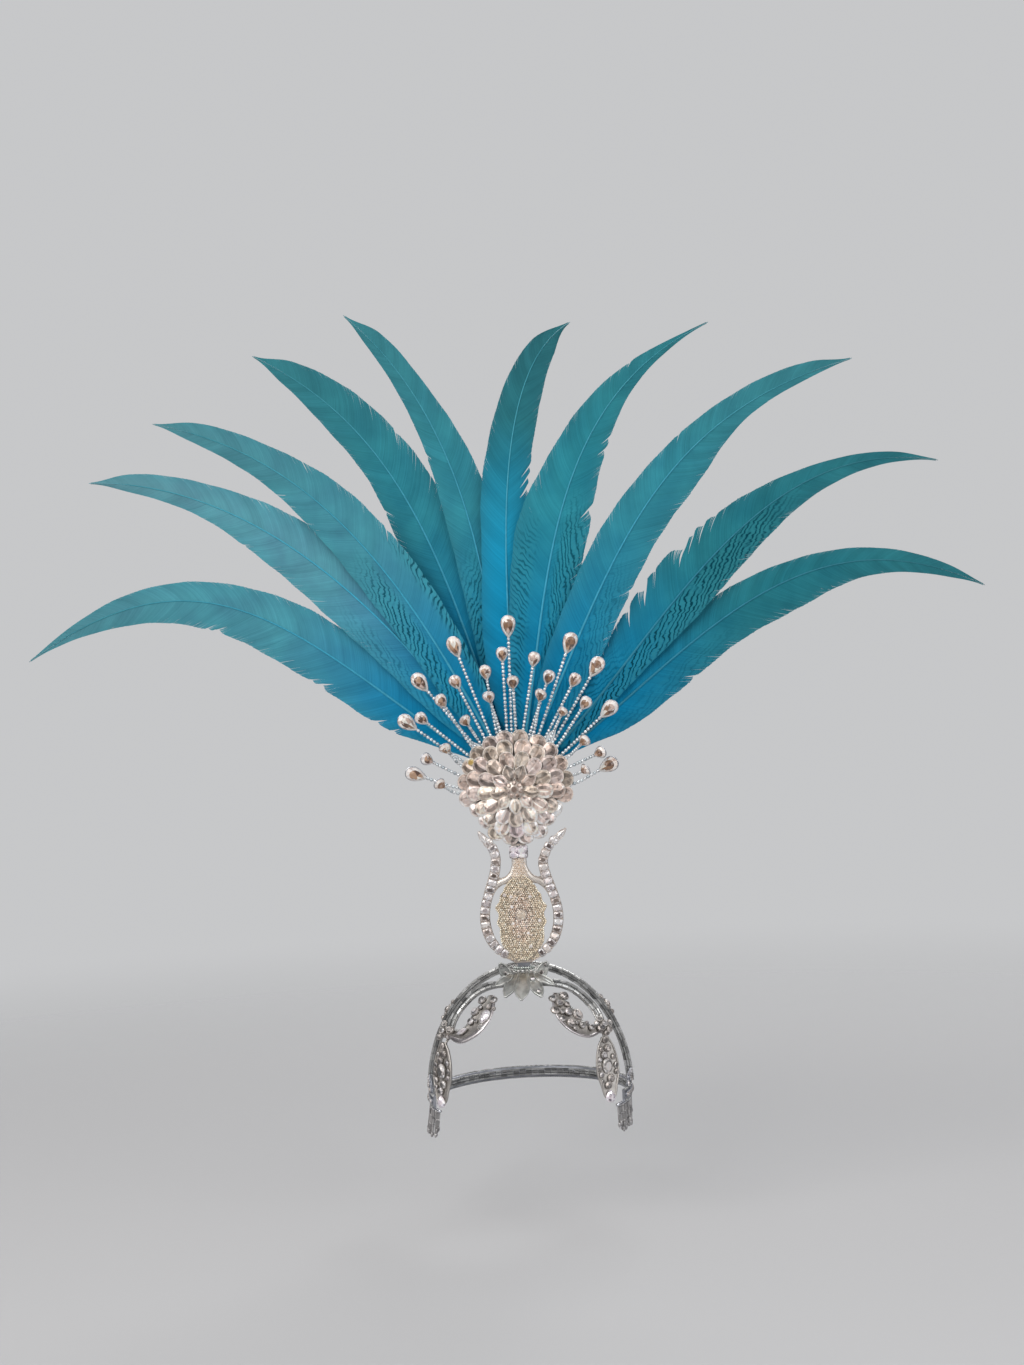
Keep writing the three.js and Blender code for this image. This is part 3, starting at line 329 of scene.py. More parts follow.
def cut(outline, high, table=(0.56, 0.56), mid=(0.82, 0.82), girdle=0.22, keel=0.0):
    """Faceted stone over an outline: points, triangles, and what each triangle is (0 table, 1 upper, 2 lower, 3 edge, 4 back)."""
    outline = np.asarray(outline, float)
    k = len(outline)
    centre = outline.mean(0)
    half = (outline + np.roll(outline, -1, 0)) / 2
    z = np.ones((k, 1))
    table, mid = np.broadcast_to(table, (2,)), np.broadcast_to(mid, (2,))
    pts = np.vstack([
        np.hstack([outline, 0 * z]), np.hstack([outline, girdle * high * z]),
        np.hstack([centre + (half - centre) * mid, 0.66 * high * z]),
        np.hstack([centre + (outline - centre) * table, high * z]),
        [[centre[0], centre[1], high]], [[centre[0], centre[1], -keel]],
    ])
    i, j = np.arange(k), (np.arange(k) + 1) % k
    b, g, m, t, c, o = 0, k, 2 * k, 3 * k, 4 * k, 4 * k + 1
    tris = [
        (b + i, b + j, g + j, 3), (b + i, g + j, g + i, 3), (g + i, g + j, m + i, 2), (m + i, g + j, m + j, 2),
        (m + i, m + j, t + j, 1), (t + i, m + i, t + j, 1), (t + i, t + j, np.full(k, c), 0), (b + j, b + i, np.full(k, o), 4),
    ]
    faces = np.vstack([np.stack(r[:3], 1) for r in tris])
    kind = np.concatenate([np.full(k, r[3]) for r in tris])
    return pts, outward(pts, faces), kind


def oval(k, a=1.0, b=1.0, turn=0.0):
    t = np.arange(k) / k * 2 * np.pi + turn
    return np.stack([a * np.cos(t), b * np.sin(t)], 1)


def pear(k, a=1.0, b=1.0, m=0.95):
    """Drop outline, narrow end at -x."""
    t = np.pi + np.arange(k) / k * 2 * np.pi
    w = np.sin(t) * np.abs(np.cos(t / 2)) ** m
    return np.stack([a * np.cos(t), b * w / np.abs(w).max()], 1)


def navette(k, a=1.0, b=1.0):
    t = np.arange(k) / k * 2 * np.pi
    x = np.cos(t)
    return np.stack([a * x, b * np.sign(np.sin(t)) * (1 - np.abs(x) ** 1.7)], 1)


def cushion(k, a=1.0, b=1.0, p=3.2):
    t = np.arange(k) / k * 2 * np.pi + np.pi / k
    c, s = np.cos(t), np.sin(t)
    r = (np.abs(c) ** p + np.abs(s) ** p) ** (-1 / p)
    return np.stack([a * r * c, b * r * s], 1)


def shades(rng, kind, palette, n, weights=((0.1, 0.35, 0.3, 0.15, 0.1, 0.0), (0.25, 0.25, 0.2, 0.15, 0.1, 0.05), (0.35, 0.25, 0.2, 0.12, 0.06, 0.02), (0.2, 0.3, 0.3, 0.2, 0, 0), (0, 0, 0.5, 0.5, 0, 0))):
    """Colour of each facet of n stones: the glimpses of light and dark that the cut shows, painted on as glints and
    shade.
    """
    out = np.zeros((n, len(kind), 3))
    for k in range(5):
        where = np.nonzero(kind == k)[0]
        if k == 0:
            pick = np.repeat(rng.choice(6, (n, 1), p=weights[k]), len(where), 1)
        else:
            pick = rng.choice(6, (n, len(where)), p=weights[k])
        out[:, where] = palette[pick] * rng.uniform(0.9, 1.04, pick.shape)[..., None]
    return np.clip(out, 0, 1)


def place(piece, template, at, along, out, size, tints, slot=0, soft=False):
    """Copies of a template: x runs along, z runs out, scaled by size (n,3)."""
    pts, faces = template[0], template[1]
    at, along, out = (np.atleast_2d(np.asarray(v, float)) for v in (at, along, out))
    n = len(at)
    out = unit(np.broadcast_to(out, (n, 3)))
    along = np.broadcast_to(along, (n, 3))
    along = unit(along - out * np.sum(along * out, -1, keepdims=True))
    side = np.cross(out, along)
    size = np.broadcast_to(np.asarray(size, float), (n, 3))
    q = pts[None] * size[:, None]
    world = at[:, None] + q[..., :1] * along[:, None] + q[..., 1:2] * side[:, None] + q[..., 2:] * out[:, None]
    f = (faces[None] + (np.arange(n) * len(pts))[:, None, None]).reshape(-1, faces.shape[1])
    tints = np.broadcast_to(np.asarray(tints, float), (n, len(faces), 3)) if np.ndim(tints) == 3 else np.repeat(np.broadcast_to(np.asarray(tints, float), (n, 3))[:, None], len(faces), 1)
    piece.add(world.reshape(-1, 3), f, slot, tints.reshape(-1, 3), soft)


def lathe_bead(profile, sides):
    """Bead along x from rows (x, radius), closed at both ends."""
    a = np.arange(sides) / sides * 2 * np.pi
    rows = np.array([[(x, r * math.cos(t), r * math.sin(t)) for t in a] for x, r in profile])
    n = len(profile)
    quads = grid_faces(n, sides, True)
    tris = np.vstack([np.stack([quads[:, 0], quads[:, 1], quads[:, 2]], 1), np.stack([quads[:, 0], quads[:, 2], quads[:, 3]], 1)])
    ends = []
    for first in (0, (n - 1) * sides):
        c = np.arange(sides) + first
        fan = np.stack([np.full(sides - 2, c[0]), c[1:-1], c[2:]], 1)
        ends.append(fan[:, ::-1] if first == 0 else fan)
    pts = rows.reshape(-1, 3)
    faces = np.vstack([tris] + ends)
    p = pts[faces]
    if np.einsum("ij,ij->", p[:, 0], np.cross(p[:, 1], p[:, 2])) < 0:
        faces = faces[:, ::-1]
    return pts, faces


SEED = lathe_bead([(-0.5, 0.42), (-0.3, 0.86), (0, 1.0), (0.3, 0.86), (0.5, 0.42)], 8)   # length 1, radius 1
BUGLE = lathe_bead([(-0.5, 0.78), (-0.46, 0.97), (0.46, 0.97), (0.5, 0.78)], 6)
CHATON = cut(oval(8, turn=math.pi / 8), 1.0)
CHATON10 = cut(oval(10), 1.0)
TINY = cut(oval(6), 1.0, table=0.5, mid=0.8)
ROUND_CUP = cut(oval(12), 1.0, table=0.9, mid=0.96, girdle=0.8)


def beads(piece, line, step, radius, template=SEED, fill=0.96, tints=None, slot=0, soft=True, up=None, rng=None):
    """Beads threaded along a line."""
    line = np.asarray(line, float)
    n = max(int(round(length(line) / step)), 1)
    p = even(line, n * 2 + 1)
    at, way = p[1::2], unit(p[2::2] - p[:-1:2])
    gap = np.linalg.norm(p[2::2] - p[:-1:2], axis=1)
    ref = np.broadcast_to([0.05, -1.0, 0.07] if up is None else up, way.shape)
    out = unit(ref - way * np.sum(ref * way, -1, keepdims=True))
    size = np.stack([gap * fill, np.full(n, radius), np.full(n, radius)], 1)
    if rng is not None:
        size[:, 1:] *= rng.uniform(0.93, 1.05, (n, 1))
    tint = np.array([0.8, 0.8, 0.8]) if tints is None else tints(n)
    place(piece, template, at, way, out, size, tint, slot, soft)


# ------------------------------------------------------------------ materials
def material(name):
    m = bpy.data.materials.new(name)
    m.use_nodes = True
    t = m.node_tree
    return m, t, t.nodes["Principled BSDF"]


def node(tree, kind, **settings):
    n = tree.nodes.new(kind)
    for key, value in settings.items():
        if key.startswith("in_"):
            n.inputs[int(key[3:]) if key[3:].isdigit() else key[3:].replace("_", " ")].default_value = value
        else:
            setattr(n, key, value)
    return n


def math_node(tree, op, a, b=None, c=None, clamp=False):
    n = tree.nodes.new("ShaderNodeMath")
    n.operation = op
    n.use_clamp = clamp
    for i, x in enumerate((a, b, c)):
        if x is None:
            continue
        if isinstance(x, (int, float)):
            n.inputs[i].default_value = x
        else:
            tree.links.new(x, n.inputs[i])
    return n.outputs[0]


def attribute(tree, name):
    n = tree.nodes.new("ShaderNodeAttribute")
    n.attribute_name = name
    return n


def mix(tree, factor, a, b, kind="MIX"):
    n = tree.nodes.new("ShaderNodeMix")
    n.data_type = "RGBA"
    n.blend_type = kind
    for socket, x in ((n.inputs["Factor"], factor), (n.inputs["A"], a), (n.inputs["B"], b)):
        if socket.name in ("A", "B"):
            socket = [s for s in n.inputs if s.name == socket.name and s.type == "RGBA"][0]
        else:
            socket = [s for s in n.inputs if s.name == "Factor" and s.type == "VALUE"][0]
        if isinstance(x, (int, float)):
            socket.default_value = x
        elif isinstance(x, tuple):
            socket.default_value = (*x, 1.0)
        else:
            tree.links.new(x, socket)
    return [s for s in n.outputs if s.type == "RGBA"][0]


def noise(tree, vector, scale, detail=2.0, rough=0.5):
    n = tree.nodes.new("ShaderNodeTexNoise")
    n.inputs["Scale"].default_value = scale
    n.inputs["Detail"].default_value = detail
    n.inputs["Roughness"].default_value = rough
    if vector is not None:
        tree.links.new(vector, n.inputs["Vector"])
    return n.outputs["Fac"]


def ramp(tree, factor, *stops):
    n = tree.nodes.new("ShaderNodeValToRGB")
    while len(n.color_ramp.elements) < len(stops):
        n.color_ramp.elements.new(0.5)
    for e, (pos, colour) in zip(n.color_ramp.elements, stops):
        e.position = pos
        e.color = (*colour, 1.0)
    tree.links.new(factor, n.inputs["Fac"])
    return n.outputs["Color"]


def object_coords(tree):
    return tree.nodes.new("ShaderNodeTexCoord").outputs["Object"]


def bump(tree, bsdf, height, strength, distance):
    n = tree.nodes.new("ShaderNodeBump")
    n.inputs["Strength"].default_value = strength
    n.inputs["Distance"].default_value = distance
    tree.links.new(height, n.inputs["Height"])
    tree.links.new(n.outputs["Normal"], bsdf.inputs["Normal"])


def stone_material(name, metallic=0.36, rough=0.2, coat=0.4):
    """Foil-backed cut glass: each facet's glimpse of the foil under a clear gloss. The facet tints carry painted glints
    and shade, and a fine noise paints faint blue and pink flashes over them.
    """
    m, t, b = material(name)
    tint = attribute(t, "tint").outputs["Color"]
    co = object_coords(t)
    flash = ramp(t, noise(t, co, 420.0, 1.0), (0.3, (0.94, 0.96, 1.0)), (0.5, (1.0, 0.99, 0.98)), (0.7, (1.0, 0.94, 0.92)))
    t.links.new(mix(t, 1.0, tint, flash, "MULTIPLY"), b.inputs["Base Color"])
    b.inputs["Metallic"].default_value = metallic
    b.inputs["Roughness"].default_value = rough
    b.inputs["Coat Weight"].default_value = coat
    b.inputs["Coat Roughness"].default_value = 0.08
    return m


def bead_material(name):
    m, t, b = material(name)
    tint = attribute(t, "tint").outputs["Color"]
    co = object_coords(t)
    vary = ramp(t, noise(t, co, 600.0, 2.0), (0.3, (0.82, 0.83, 0.86)), (0.7, (1.0, 1.0, 1.0)))
    t.links.new(mix(t, 1.0, tint, vary, "MULTIPLY"), b.inputs["Base Color"])
    b.inputs["Metallic"].default_value = 0.5
    b.inputs["Roughness"].default_value = 0.26
    b.inputs["Coat Weight"].default_value = 0.4
    b.inputs["Coat Roughness"].default_value = 0.08
    return m


def silver_material(name, colour, dark, rough):
    """Plated metal, a little dulled in patches, with fine handling marks."""
    m, t, b = material(name)
    co = object_coords(t)
    patch = noise(t, co, 90.0, 4.0, 0.6)
    t.links.new(ramp(t, patch, (0.34, dark), (0.62, colour)), b.inputs["Base Color"])
    r = t.nodes.new("ShaderNodeMapRange")
    r.inputs["From Min"].default_value, r.inputs["From Max"].default_value = 0.3, 0.7
    r.inputs["To Min"].default_value, r.inputs["To Max"].default_value = rough + 0.12, rough
    t.links.new(noise(t, co, 260.0, 3.0), r.inputs["Value"])
    t.links.new(r.outputs["Result"], b.inputs["Roughness"])
    b.inputs["Metallic"].default_value = 1.0
    bump(t, b, noise(t, co, 1400.0, 2.0), 0.12, 0.0003)
    return m


def lame_material(name, colour, dark):
    """Soft metallic cloth with a fine weave."""
    m, t, b = material(name)
    co = object_coords(t)
    weave = t.nodes.new("ShaderNodeTexWave")
    weave.bands_direction = "DIAGONAL"
    weave.inputs["Scale"].default_value = 260.0
    weave.inputs["Distortion"].default_value = 0.6
    t.links.new(co, weave.inputs["Vector"])
    patch = noise(t, co, 120.0, 3.0)
    base = ramp(t, patch, (0.35, dark), (0.65, colour))
    t.links.new(mix(t, 0.25, base, weave.outputs["Color"], "SOFT_LIGHT"), b.inputs["Base Color"])
    b.inputs["Metallic"].default_value = 0.55
    b.inputs["Roughness"].default_value = 0.36
    bump(t, b, weave.outputs["Fac"], 0.25, 0.0002)
    return m


def felt_material(name, colour, dark):
    m, t, b = material(name)
    co = object_coords(t)
    fibre = noise(t, co, 900.0, 6.0, 0.7)
    cloud = noise(t, co, 60.0, 3.0)
    base = mix(t, 0.6, ramp(t, fibre, (0.35, dark), (0.65, colour)), ramp(t, cloud, (0.3, dark), (0.7, colour)), "MIX")
    t.links.new(base, b.inputs["Base Color"])
    b.inputs["Roughness"].default_value = 0.92
    b.inputs["Sheen Weight"].default_value = 0.35
    bump(t, b, fibre, 0.6, 0.0006)
    return m


def feather_material(name, tone, blue, warmth_and_sheen, seed):
    """Dyed web: barb streaks, deeper colour towards the quill, dark wavy lines where marks is set (in places painted
    shade between clumped barbs) with a painted highlight between them, and a grey cast that is partly painted sheen.
    """
    m, t, b = material(name)
    along, across = attribute(t, "along").outputs["Fac"], attribute(t, "across").outputs["Fac"]
    barb, web = attribute(t, "barb").outputs["Fac"], attribute(t, "web").outputs["Fac"]
    marks, streak = attribute(t, "marks").outputs["Fac"], attribute(t, "streak").outputs["Fac"]
    base_s, lines_at = attribute(t, "share").outputs["Fac"], attribute(t, "lines").outputs["Fac"]

    def vec(x, y, z=seed * 7.31):
        n = t.nodes.new("ShaderNodeCombineXYZ")
        for i, v in enumerate((x, y, z)):
            if isinstance(v, (int, float)):
                n.inputs[i].default_value = v
            else:
                t.links.new(v, n.inputs[i])
        return n.outputs[0]

    def k(c):
        return tuple(v * tone for v in c)

    plane = vec(along, across)
    cloud = noise(t, plane, 0.035, 3.0)
    # the red lifted into the body colour is warmth, and on feathers 1 to 3 also a painted sheen
    body = ramp(t, cloud, (0.32, k((0.022 + warmth_and_sheen, 0.226, 0.290))), (0.68, k((0.034 + warmth_and_sheen, 0.295, 0.354))))
    low_blue = t.nodes.new("ShaderNodeMapRange")
    for key, v in (("From Min", 0.45), ("From Max", 0.75), ("To Min", blue), ("To Max", 0.0)):
        low_blue.inputs[key].default_value = v
    t.links.new(base_s, low_blue.inputs["Value"])
    body = mix(t, low_blue.outputs["Result"], body, (0.015, 0.330, 0.550))
    deep = t.nodes.new("ShaderNodeMapRange")
    deep.interpolation_type = "SMOOTHSTEP"
    for key, v in (("From Min", 0.12), ("From Max", 0.54), ("To Min", 1.0), ("To Max", 0.0)):
        deep.inputs[key].default_value = v
    t.links.new(base_s, deep.inputs["Value"])
    body = mix(t, deep.outputs["Result"], body, (0.005, 0.234, 0.452))
    tip = t.nodes.new("ShaderNodeMapRange")
    for key, v in (("From Min", 0.62), ("From Max", 1.0), ("To Min", 0.0), ("To Max", 0.6)):
        tip.inputs[key].default_value = v
    t.links.new(base_s, tip.inputs["Value"])
    body = mix(t, tip.outputs["Result"], body, k((0.050 + warmth_and_sheen, 0.225, 0.245)))
    rim = math_node(t, "MULTIPLY", math_node(t, "POWER", web, 3.0), 0.4)
    body = mix(t, rim, body, k((0.055, 0.250, 0.300)))
    lines = noise(t, vec(barb, math_node(t, "MULTIPLY", across, 0.02)), 0.9, 3.0, 0.65)
    body = mix(t, 0.55, body, ramp(t, lines, (0.3, (0.66, 0.70, 0.72)), (0.7, (1.0, 1.0, 1.0))), "MULTIPLY")
    tone_k = t.nodes.new("ShaderNodeCombineXYZ")
    for i in range(3):
        t.links.new(streak, tone_k.inputs[i])
    body = mix(t, 1.0, body, tone_k.outputs[0], "MULTIPLY")
    # dark wavy lines, drawn in towards the shaft as they run out, stepping from barb to barb
    along_k, along_j = math_node(t, "MULTIPLY", along, 0.45), math_node(t, "MULTIPLY", along, 0.35)
    bend = math_node(t, "MULTIPLY", math_node(t, "SUBTRACT", noise(t, vec(along_k, across), 0.095, 2.0), 0.5), 3.3)
    step = math_node(t, "MULTIPLY", math_node(t, "SUBTRACT", noise(t, vec(barb, 0.0), 0.3, 1.0), 0.5), 0.9)
    phase = math_node(t, "ADD", math_node(t, "ADD", lines_at, bend), step)
    tri = math_node(t, "MULTIPLY", math_node(t, "ABSOLUTE", math_node(t, "SUBTRACT", math_node(t, "FRACT", phase), 0.5)), 2.0)
    line = t.nodes.new("ShaderNodeMapRange")
    line.interpolation_type = "SMOOTHSTEP"
    for key, v in (("From Min", 0.60), ("From Max", 0.80), ("To Min", 0.0), ("To Max", 1.0)):
        line.inputs[key].default_value = v
    t.links.new(tri, line.inputs["Value"])
    broken = t.nodes.new("ShaderNodeMapRange")
    for key, v in (("From Min", 0.34), ("From Max", 0.44), ("To Min", 0.1), ("To Max", 1.0)):
        broken.inputs[key].default_value = v
    t.links.new(noise(t, vec(along_j, across, seed * 3.1 + 40.0), 0.22, 2.0), broken.inputs["Value"])
    dark = math_node(t, "MULTIPLY", math_node(t, "MULTIPLY", line.outputs["Result"], broken.outputs["Result"]), marks, clamp=True)
    # painted highlight: the web is paler between the dark lines, for a raised look
    between_lines = t.nodes.new("ShaderNodeMapRange")
    between_lines.interpolation_type = "SMOOTHSTEP"
    for key, v in (("From Min", 0.15), ("From Max", 0.5), ("To Min", 0.5), ("To Max", 0.12)):
        between_lines.inputs[key].default_value = v
    t.links.new(tri, between_lines.inputs["Value"])
    pale = math_node(t, "MULTIPLY", between_lines.outputs["Result"], marks, clamp=True)
    body = mix(t, pale, body, k((0.050, 0.330, 0.385)))
    body = mix(t, dark, body, (0.004, 0.056, 0.084))
    t.links.new(body, b.inputs["Base Color"])
    b.inputs["Roughness"].default_value = 0.7
    b.inputs["Specular IOR Level"].default_value = 0.0
    bump(t, b, lines, 0.35, 0.0004)
    return m


def shaft_material(name, pale=1.0):
    m, t, b = material(name)
    share = attribute(t, "share").outputs["Fac"]
    co = object_coords(t)
    stops = ((0.0, (0.09, 0.45, 0.63)), (0.35, (0.07, 0.43, 0.62)), (0.8, (0.09, 0.40, 0.49)), (1.0, (0.06, 0.30, 0.36)))
    col = ramp(t, share, *((at, tuple(c * pale for c in rgb)) for at, rgb in stops))
    vary = ramp(t, noise(t, co, 220.0, 3.0), (0.3, (0.8, 0.84, 0.86)), (0.7, (1.0, 1.0, 1.0)))
    t.links.new(mix(t, 1.0, col, vary, "MULTIPLY"), b.inputs["Base Color"])
    b.inputs["Roughness"].default_value = 0.55
    b.inputs["Specular IOR Level"].default_value = 0.0
    return m


CRYSTAL = stone_material("crystal_stone")
CHAMP = stone_material("champagne_stone", 0.16, 0.38)
DROP_GLASS = stone_material("drop_glass", 0.0, 0.3, 0.3)
ROSE_GLASS = stone_material("rose_glass", 0.34, 0.2, 0.55)
PETAL_RIM = silver_material("petal_rim", (0.80, 0.75, 0.70), (0.64, 0.58, 0.53), 0.42)
BEAD = bead_material("silver_lined_bead")
SILVER = silver_material("silver_plate", (0.64, 0.65, 0.69), (0.42, 0.43, 0.47), 0.2)
DULL = silver_material("silver_back", (0.42, 0.43, 0.47), (0.28, 0.29, 0.32), 0.34)
LILAC_SILVER = silver_material("lilac_silver", (0.56, 0.53, 0.54), (0.40, 0.37, 0.38), 0.24)
PEWTER = silver_material("warm_silver", (0.64, 0.57, 0.52), (0.46, 0.40, 0.36), 0.32)
LEAF_SILVER = silver_material("leaf_silver", (0.60, 0.605, 0.585), (0.25, 0.255, 0.25), 0.32)
SATIN = lame_material("pale_satin", (0.70, 0.65, 0.60), (0.56, 0.51, 0.47))
CAP_SILVER = silver_material("cap_silver", (0.47, 0.445, 0.42), (0.32, 0.30, 0.285), 0.36)
GROUND = lame_material("champagne_ground", (0.52, 0.45, 0.35), (0.40, 0.34, 0.26))
FELT = felt_material("grey_felt", (0.20, 0.20, 0.21), (0.09, 0.09, 0.10))
BEIGE_FELT = felt_material("beige_felt", (0.40, 0.34, 0.29), (0.25, 0.205, 0.175))


# ------------------------------------------------------------------- feathers
def feather(row):
    fid, level, root_deg, tip_x, tip_z, tip_deg, pull0, pull1, right, left = row
    rng = np.random.default_rng(1000 + fid)
    ra, ta = math.radians(root_deg), math.radians(tip_deg)
    root = FAN + QUILL_RING * np.array([math.sin(ra), math.cos(ra)])
    tip = np.array([tip_x, tip_z], float)
    chord = np.linalg.norm(tip - root)
    ctrl = [root, root + pull0 * chord * np.array([math.sin(ra), math.cos(ra)]), tip - pull1 * chord * np.array([math.sin(ta), math.cos(ta)]), tip]
    t = np.linspace(0, 1, 1500)[:, None]
    line = (1 - t) ** 3 * ctrl[0] + 3 * (1 - t) ** 2 * t * ctrl[1] + 3 * (1 - t) * t**2 * ctrl[2] + t**3 * ctrl[3]
    arc = np.r_[0, np.cumsum(np.linalg.norm(np.diff(line, axis=0), axis=1))]
    total = arc[-1]
    tan = unit(np.gradient(line, axis=0))
    xs = np.r_[WEB_START, WEB_LOW_S, STATIONS, 1.0]

    def lerp(data, a):
        return np.interp(a, arc, data)

    def depth(x, z):
        r = np.hypot(x - FAN[0], z - FAN[1])
        return LEVEL0 + level * LEVEL_STEP + (LEAN0 + level * LEAN_STEP) * (r / LEAN_R) ** 2

    def width(side, a):
        row_w = right if side > 0 else left
        w = through(xs, np.r_[QUILL_R, LOW_WEB.get((fid, side), WEB_LOW_K) * row_w[0], row_w, 0.8], a / total)
        ripple = 1 + 0.012 * np.sin(a / 17.0 + fid) + 0.01 * np.sin(a / 6.1 + 2 * fid * side)
        return w * np.where(a / total > WEB_LOW_S, ripple, 1)

    piece = Piece()
    values = {k: [] for k in ("along", "across", "barb", "web", "marks", "streak", "share", "lines")}
    uvs = []
    nv = 9
    v = np.linspace(0, 1, nv + 1) ** 0.92
    spacing = 0.80
    for side in (1, -1):
        name = "right" if side > 0 else "left"
        n = int(total * (0.995 - WEB_START) / spacing)
        a0 = WEB_START * total + (np.arange(n) + 0.5) / n * total * (0.995 - WEB_START)
        s0 = a0 / total
        lean = np.interp(s0, [0, 0.15, 0.5, 0.85, 1], [0.55, 0.85, 1.15, 1.5, 1.9])
        adv = lean * width(side, np.minimum(a0 + 0.5 * lean * width(side, a0), total))
        rest = total - a0
        a1 = total - rest * np.exp(-adv / np.maximum(rest, 1e-3))
        # splits: barbs on each side part, and lie closer to their own lock
        shift, shorten, depth_of = np.zeros(n), np.ones(n), np.full(n, 0.3)
        rows = [(c, g, d) for f, s, c, g, d in SPLITS if f == fid and s == name]
        rows += [(c, rng.uniform(0.2, 0.5), rng.uniform(0.08, 0.16)) for c in rng.uniform(0.25, 0.96, 2)]
        for c, gap, deep in rows:
            d = a1 - c * total
            reach = 4.0 + 2.2 * gap
            near = np.exp(-np.abs(d) / reach)
            shift += np.sign(d) * gap * 0.5 * near
            shorten -= 0.028 * gap * np.exp(-((d / (1.2 + 0.7 * gap)) ** 2))
            depth_of = np.maximum(depth_of, np.where(np.abs(d) < 2.5 * reach, deep, 0))
        shorten = np.clip(shorten, 0.55, 1) * (1 + rng.normal(0, 0.006, n))
        stray = rng.random(n) < 0.001
        shift += np.where(stray, rng.normal(0, 1.2, n), rng.normal(0, 0.06, n))
        lift = rng.normal(0, 0.025, n) + np.where(stray, rng.normal(0, 0.6, n), 0)
        slow = np.interp(a0, np.linspace(0, total, 26), rng.normal(0, 0.55, 26))
        streak = 1 + rng.normal(0, 0.035, n) + np.interp(a0, np.linspace(0, total, 60), rng.normal(0, 0.05, 60))
        half = 0.64 * (a0[1] - a0[0])
        V = v[None, :]
        edges = []
        for e in (-1, 1):
            b0 = (a0 + e * half)[:, None]
            b1 = (a1 + e * half * np.gradient(a1, a0))[:, None]
            a = b0 + (b1 - b0) * (0.72 * V + 0.28 * V**2)
            spread = smooth(0, 1, (V - (1 - depth_of[:, None])) / np.maximum(depth_of[:, None], 1e-3))
            vv = V * (1 + (shorten[:, None] - 1) * V**2)
            aa = np.clip(a + shift[:, None] * spread, 0, total)
            u = side * (0.35 + (width(side, np.clip(a, 0, total)) - 0.35) * vv)
            cx, cz, tx, tz = (lerp(d, aa) for d in (line[:, 0], line[:, 1], tan[:, 0], tan[:, 1]))
            x, z = cx + tz * u, cz - tx * u
            y = depth(cx, cz) + np.abs(u) * CAMBER + (slow + lift)[:, None] * V**2 - e * 0.03
            edges.append((np.stack([x, y, z], -1), aa, u))
        pts = np.stack([edges[0][0], edges[1][0]], 2)             # n, nv+1, 2, 3
        idx = np.arange(n * (nv + 1) * 2).reshape(n, nv + 1, 2)
        q = np.stack([idx[:, :-1, 0], idx[:, :-1, 1], idx[:, 1:, 1], idx[:, 1:, 0]], -1).reshape(-1, 4)
        if side < 0:
            q = q[:, ::-1]
        piece.add(pts.reshape(-1, 3), q, 0, (0.04, 0.3, 0.4), True)
        aa = np.stack([edges[0][1], edges[1][1]], 2)
        uu = np.stack([edges[0][2], edges[1][2]], 2)
        values["along"].append(aa.ravel())
        values["across"].append(uu.ravel())
        full = lambda x: np.broadcast_to(x, (n, nv + 1, 2)).ravel()
        values["barb"].append(full(a0[:, None, None]))
        values["web"].append(full(v[None, :, None]))
        values["streak"].append(full(streak[:, None, None]))
        share = aa / total
        values["share"].append(share.ravel())
        marks = np.zeros_like(share)
        slant, pitch = 0.3, 4.5
        out_v = np.broadcast_to(v[None, :, None], share.shape)
        for f, s, lo, hi, strength, inner, lean_k, apart in MARKS:
            if f == fid and s == name:
                slant, pitch = lean_k, apart * math.hypot(1, lean_k)
                zone = smooth(lo - 0.06, lo + 0.04, share) * (1 - smooth(hi - 0.12, hi + 0.03, share + 0.05 * (out_v - 0.5)))
                marks = np.maximum(marks, strength * zone * smooth(inner - 0.15, inner + 0.15, out_v) * (1 - (0.6 if inner < 0.5 else 0.0) * smooth(0.8, 1.0, out_v)))
        values["lines"].append(((np.abs(uu) + slant * aa) / pitch).ravel())
        values["marks"].append(marks.ravel())
        uvs.append(np.stack([0.5 + uu.ravel() / 90.0, aa.ravel() / total], 1))
    # shaft: tapering, round at the quill, lying proud of the web in front and behind
    a = np.linspace(0, total, 90)
    c = np.stack([lerp(line[:, 0], a), np.zeros(90), lerp(line[:, 1], a)], 1)
    c[:, 1] = depth(c[:, 0], c[:, 2]) - 0.25
    radius = np.interp(a / total, [0, 0.04, 0.2, 0.55, 0.85, 1], [1.75, 1.6, 1.05, 0.68, 0.42, 0.25])
    before = piece.count
    tube(piece, c, radius, 8, 1, (0.1, 0.45, 0.55), up=np.array([0.0, -1.0, 0.0]), flat=0.9)
    k = piece.count - before
    per = np.repeat(a, 8)
    for key, d in (("along", per), ("across", np.zeros(k)), ("barb", per), ("web", np.zeros(k)), ("marks", np.zeros(k)), ("streak", np.ones(k)), ("share", per / total), ("lines", np.zeros(k))):
        values[key].append(d)
    uvs.append(np.stack([0.97 + 0.02 * np.tile(np.arange(8) / 8, 90), per / total], 1))
    tone, blue, warmth_and_sheen, pale = TONES[fid]
    web = feather_material(f"dyed_feather_{fid:02d}", tone, blue, warmth_and_sheen, fid)
    piece.make(f"plume_{fid:02d}", [web, shaft_material(f"feather_shaft_{fid:02d}", pale)], "dyed_feather", f"feather_{fid:02d}",
               values={key: np.concatenate(d) for key, d in values.items()}, uv=np.vstack(uvs))


for row in FEATHERS:
    feather(row)


# --------------------------------------------------------------------- sprays
def polar(deg, r, y):
    a = math.radians(deg)
    return np.array([FAN[0] + r * math.sin(a), y, FAN[1] + r * math.cos(a)])


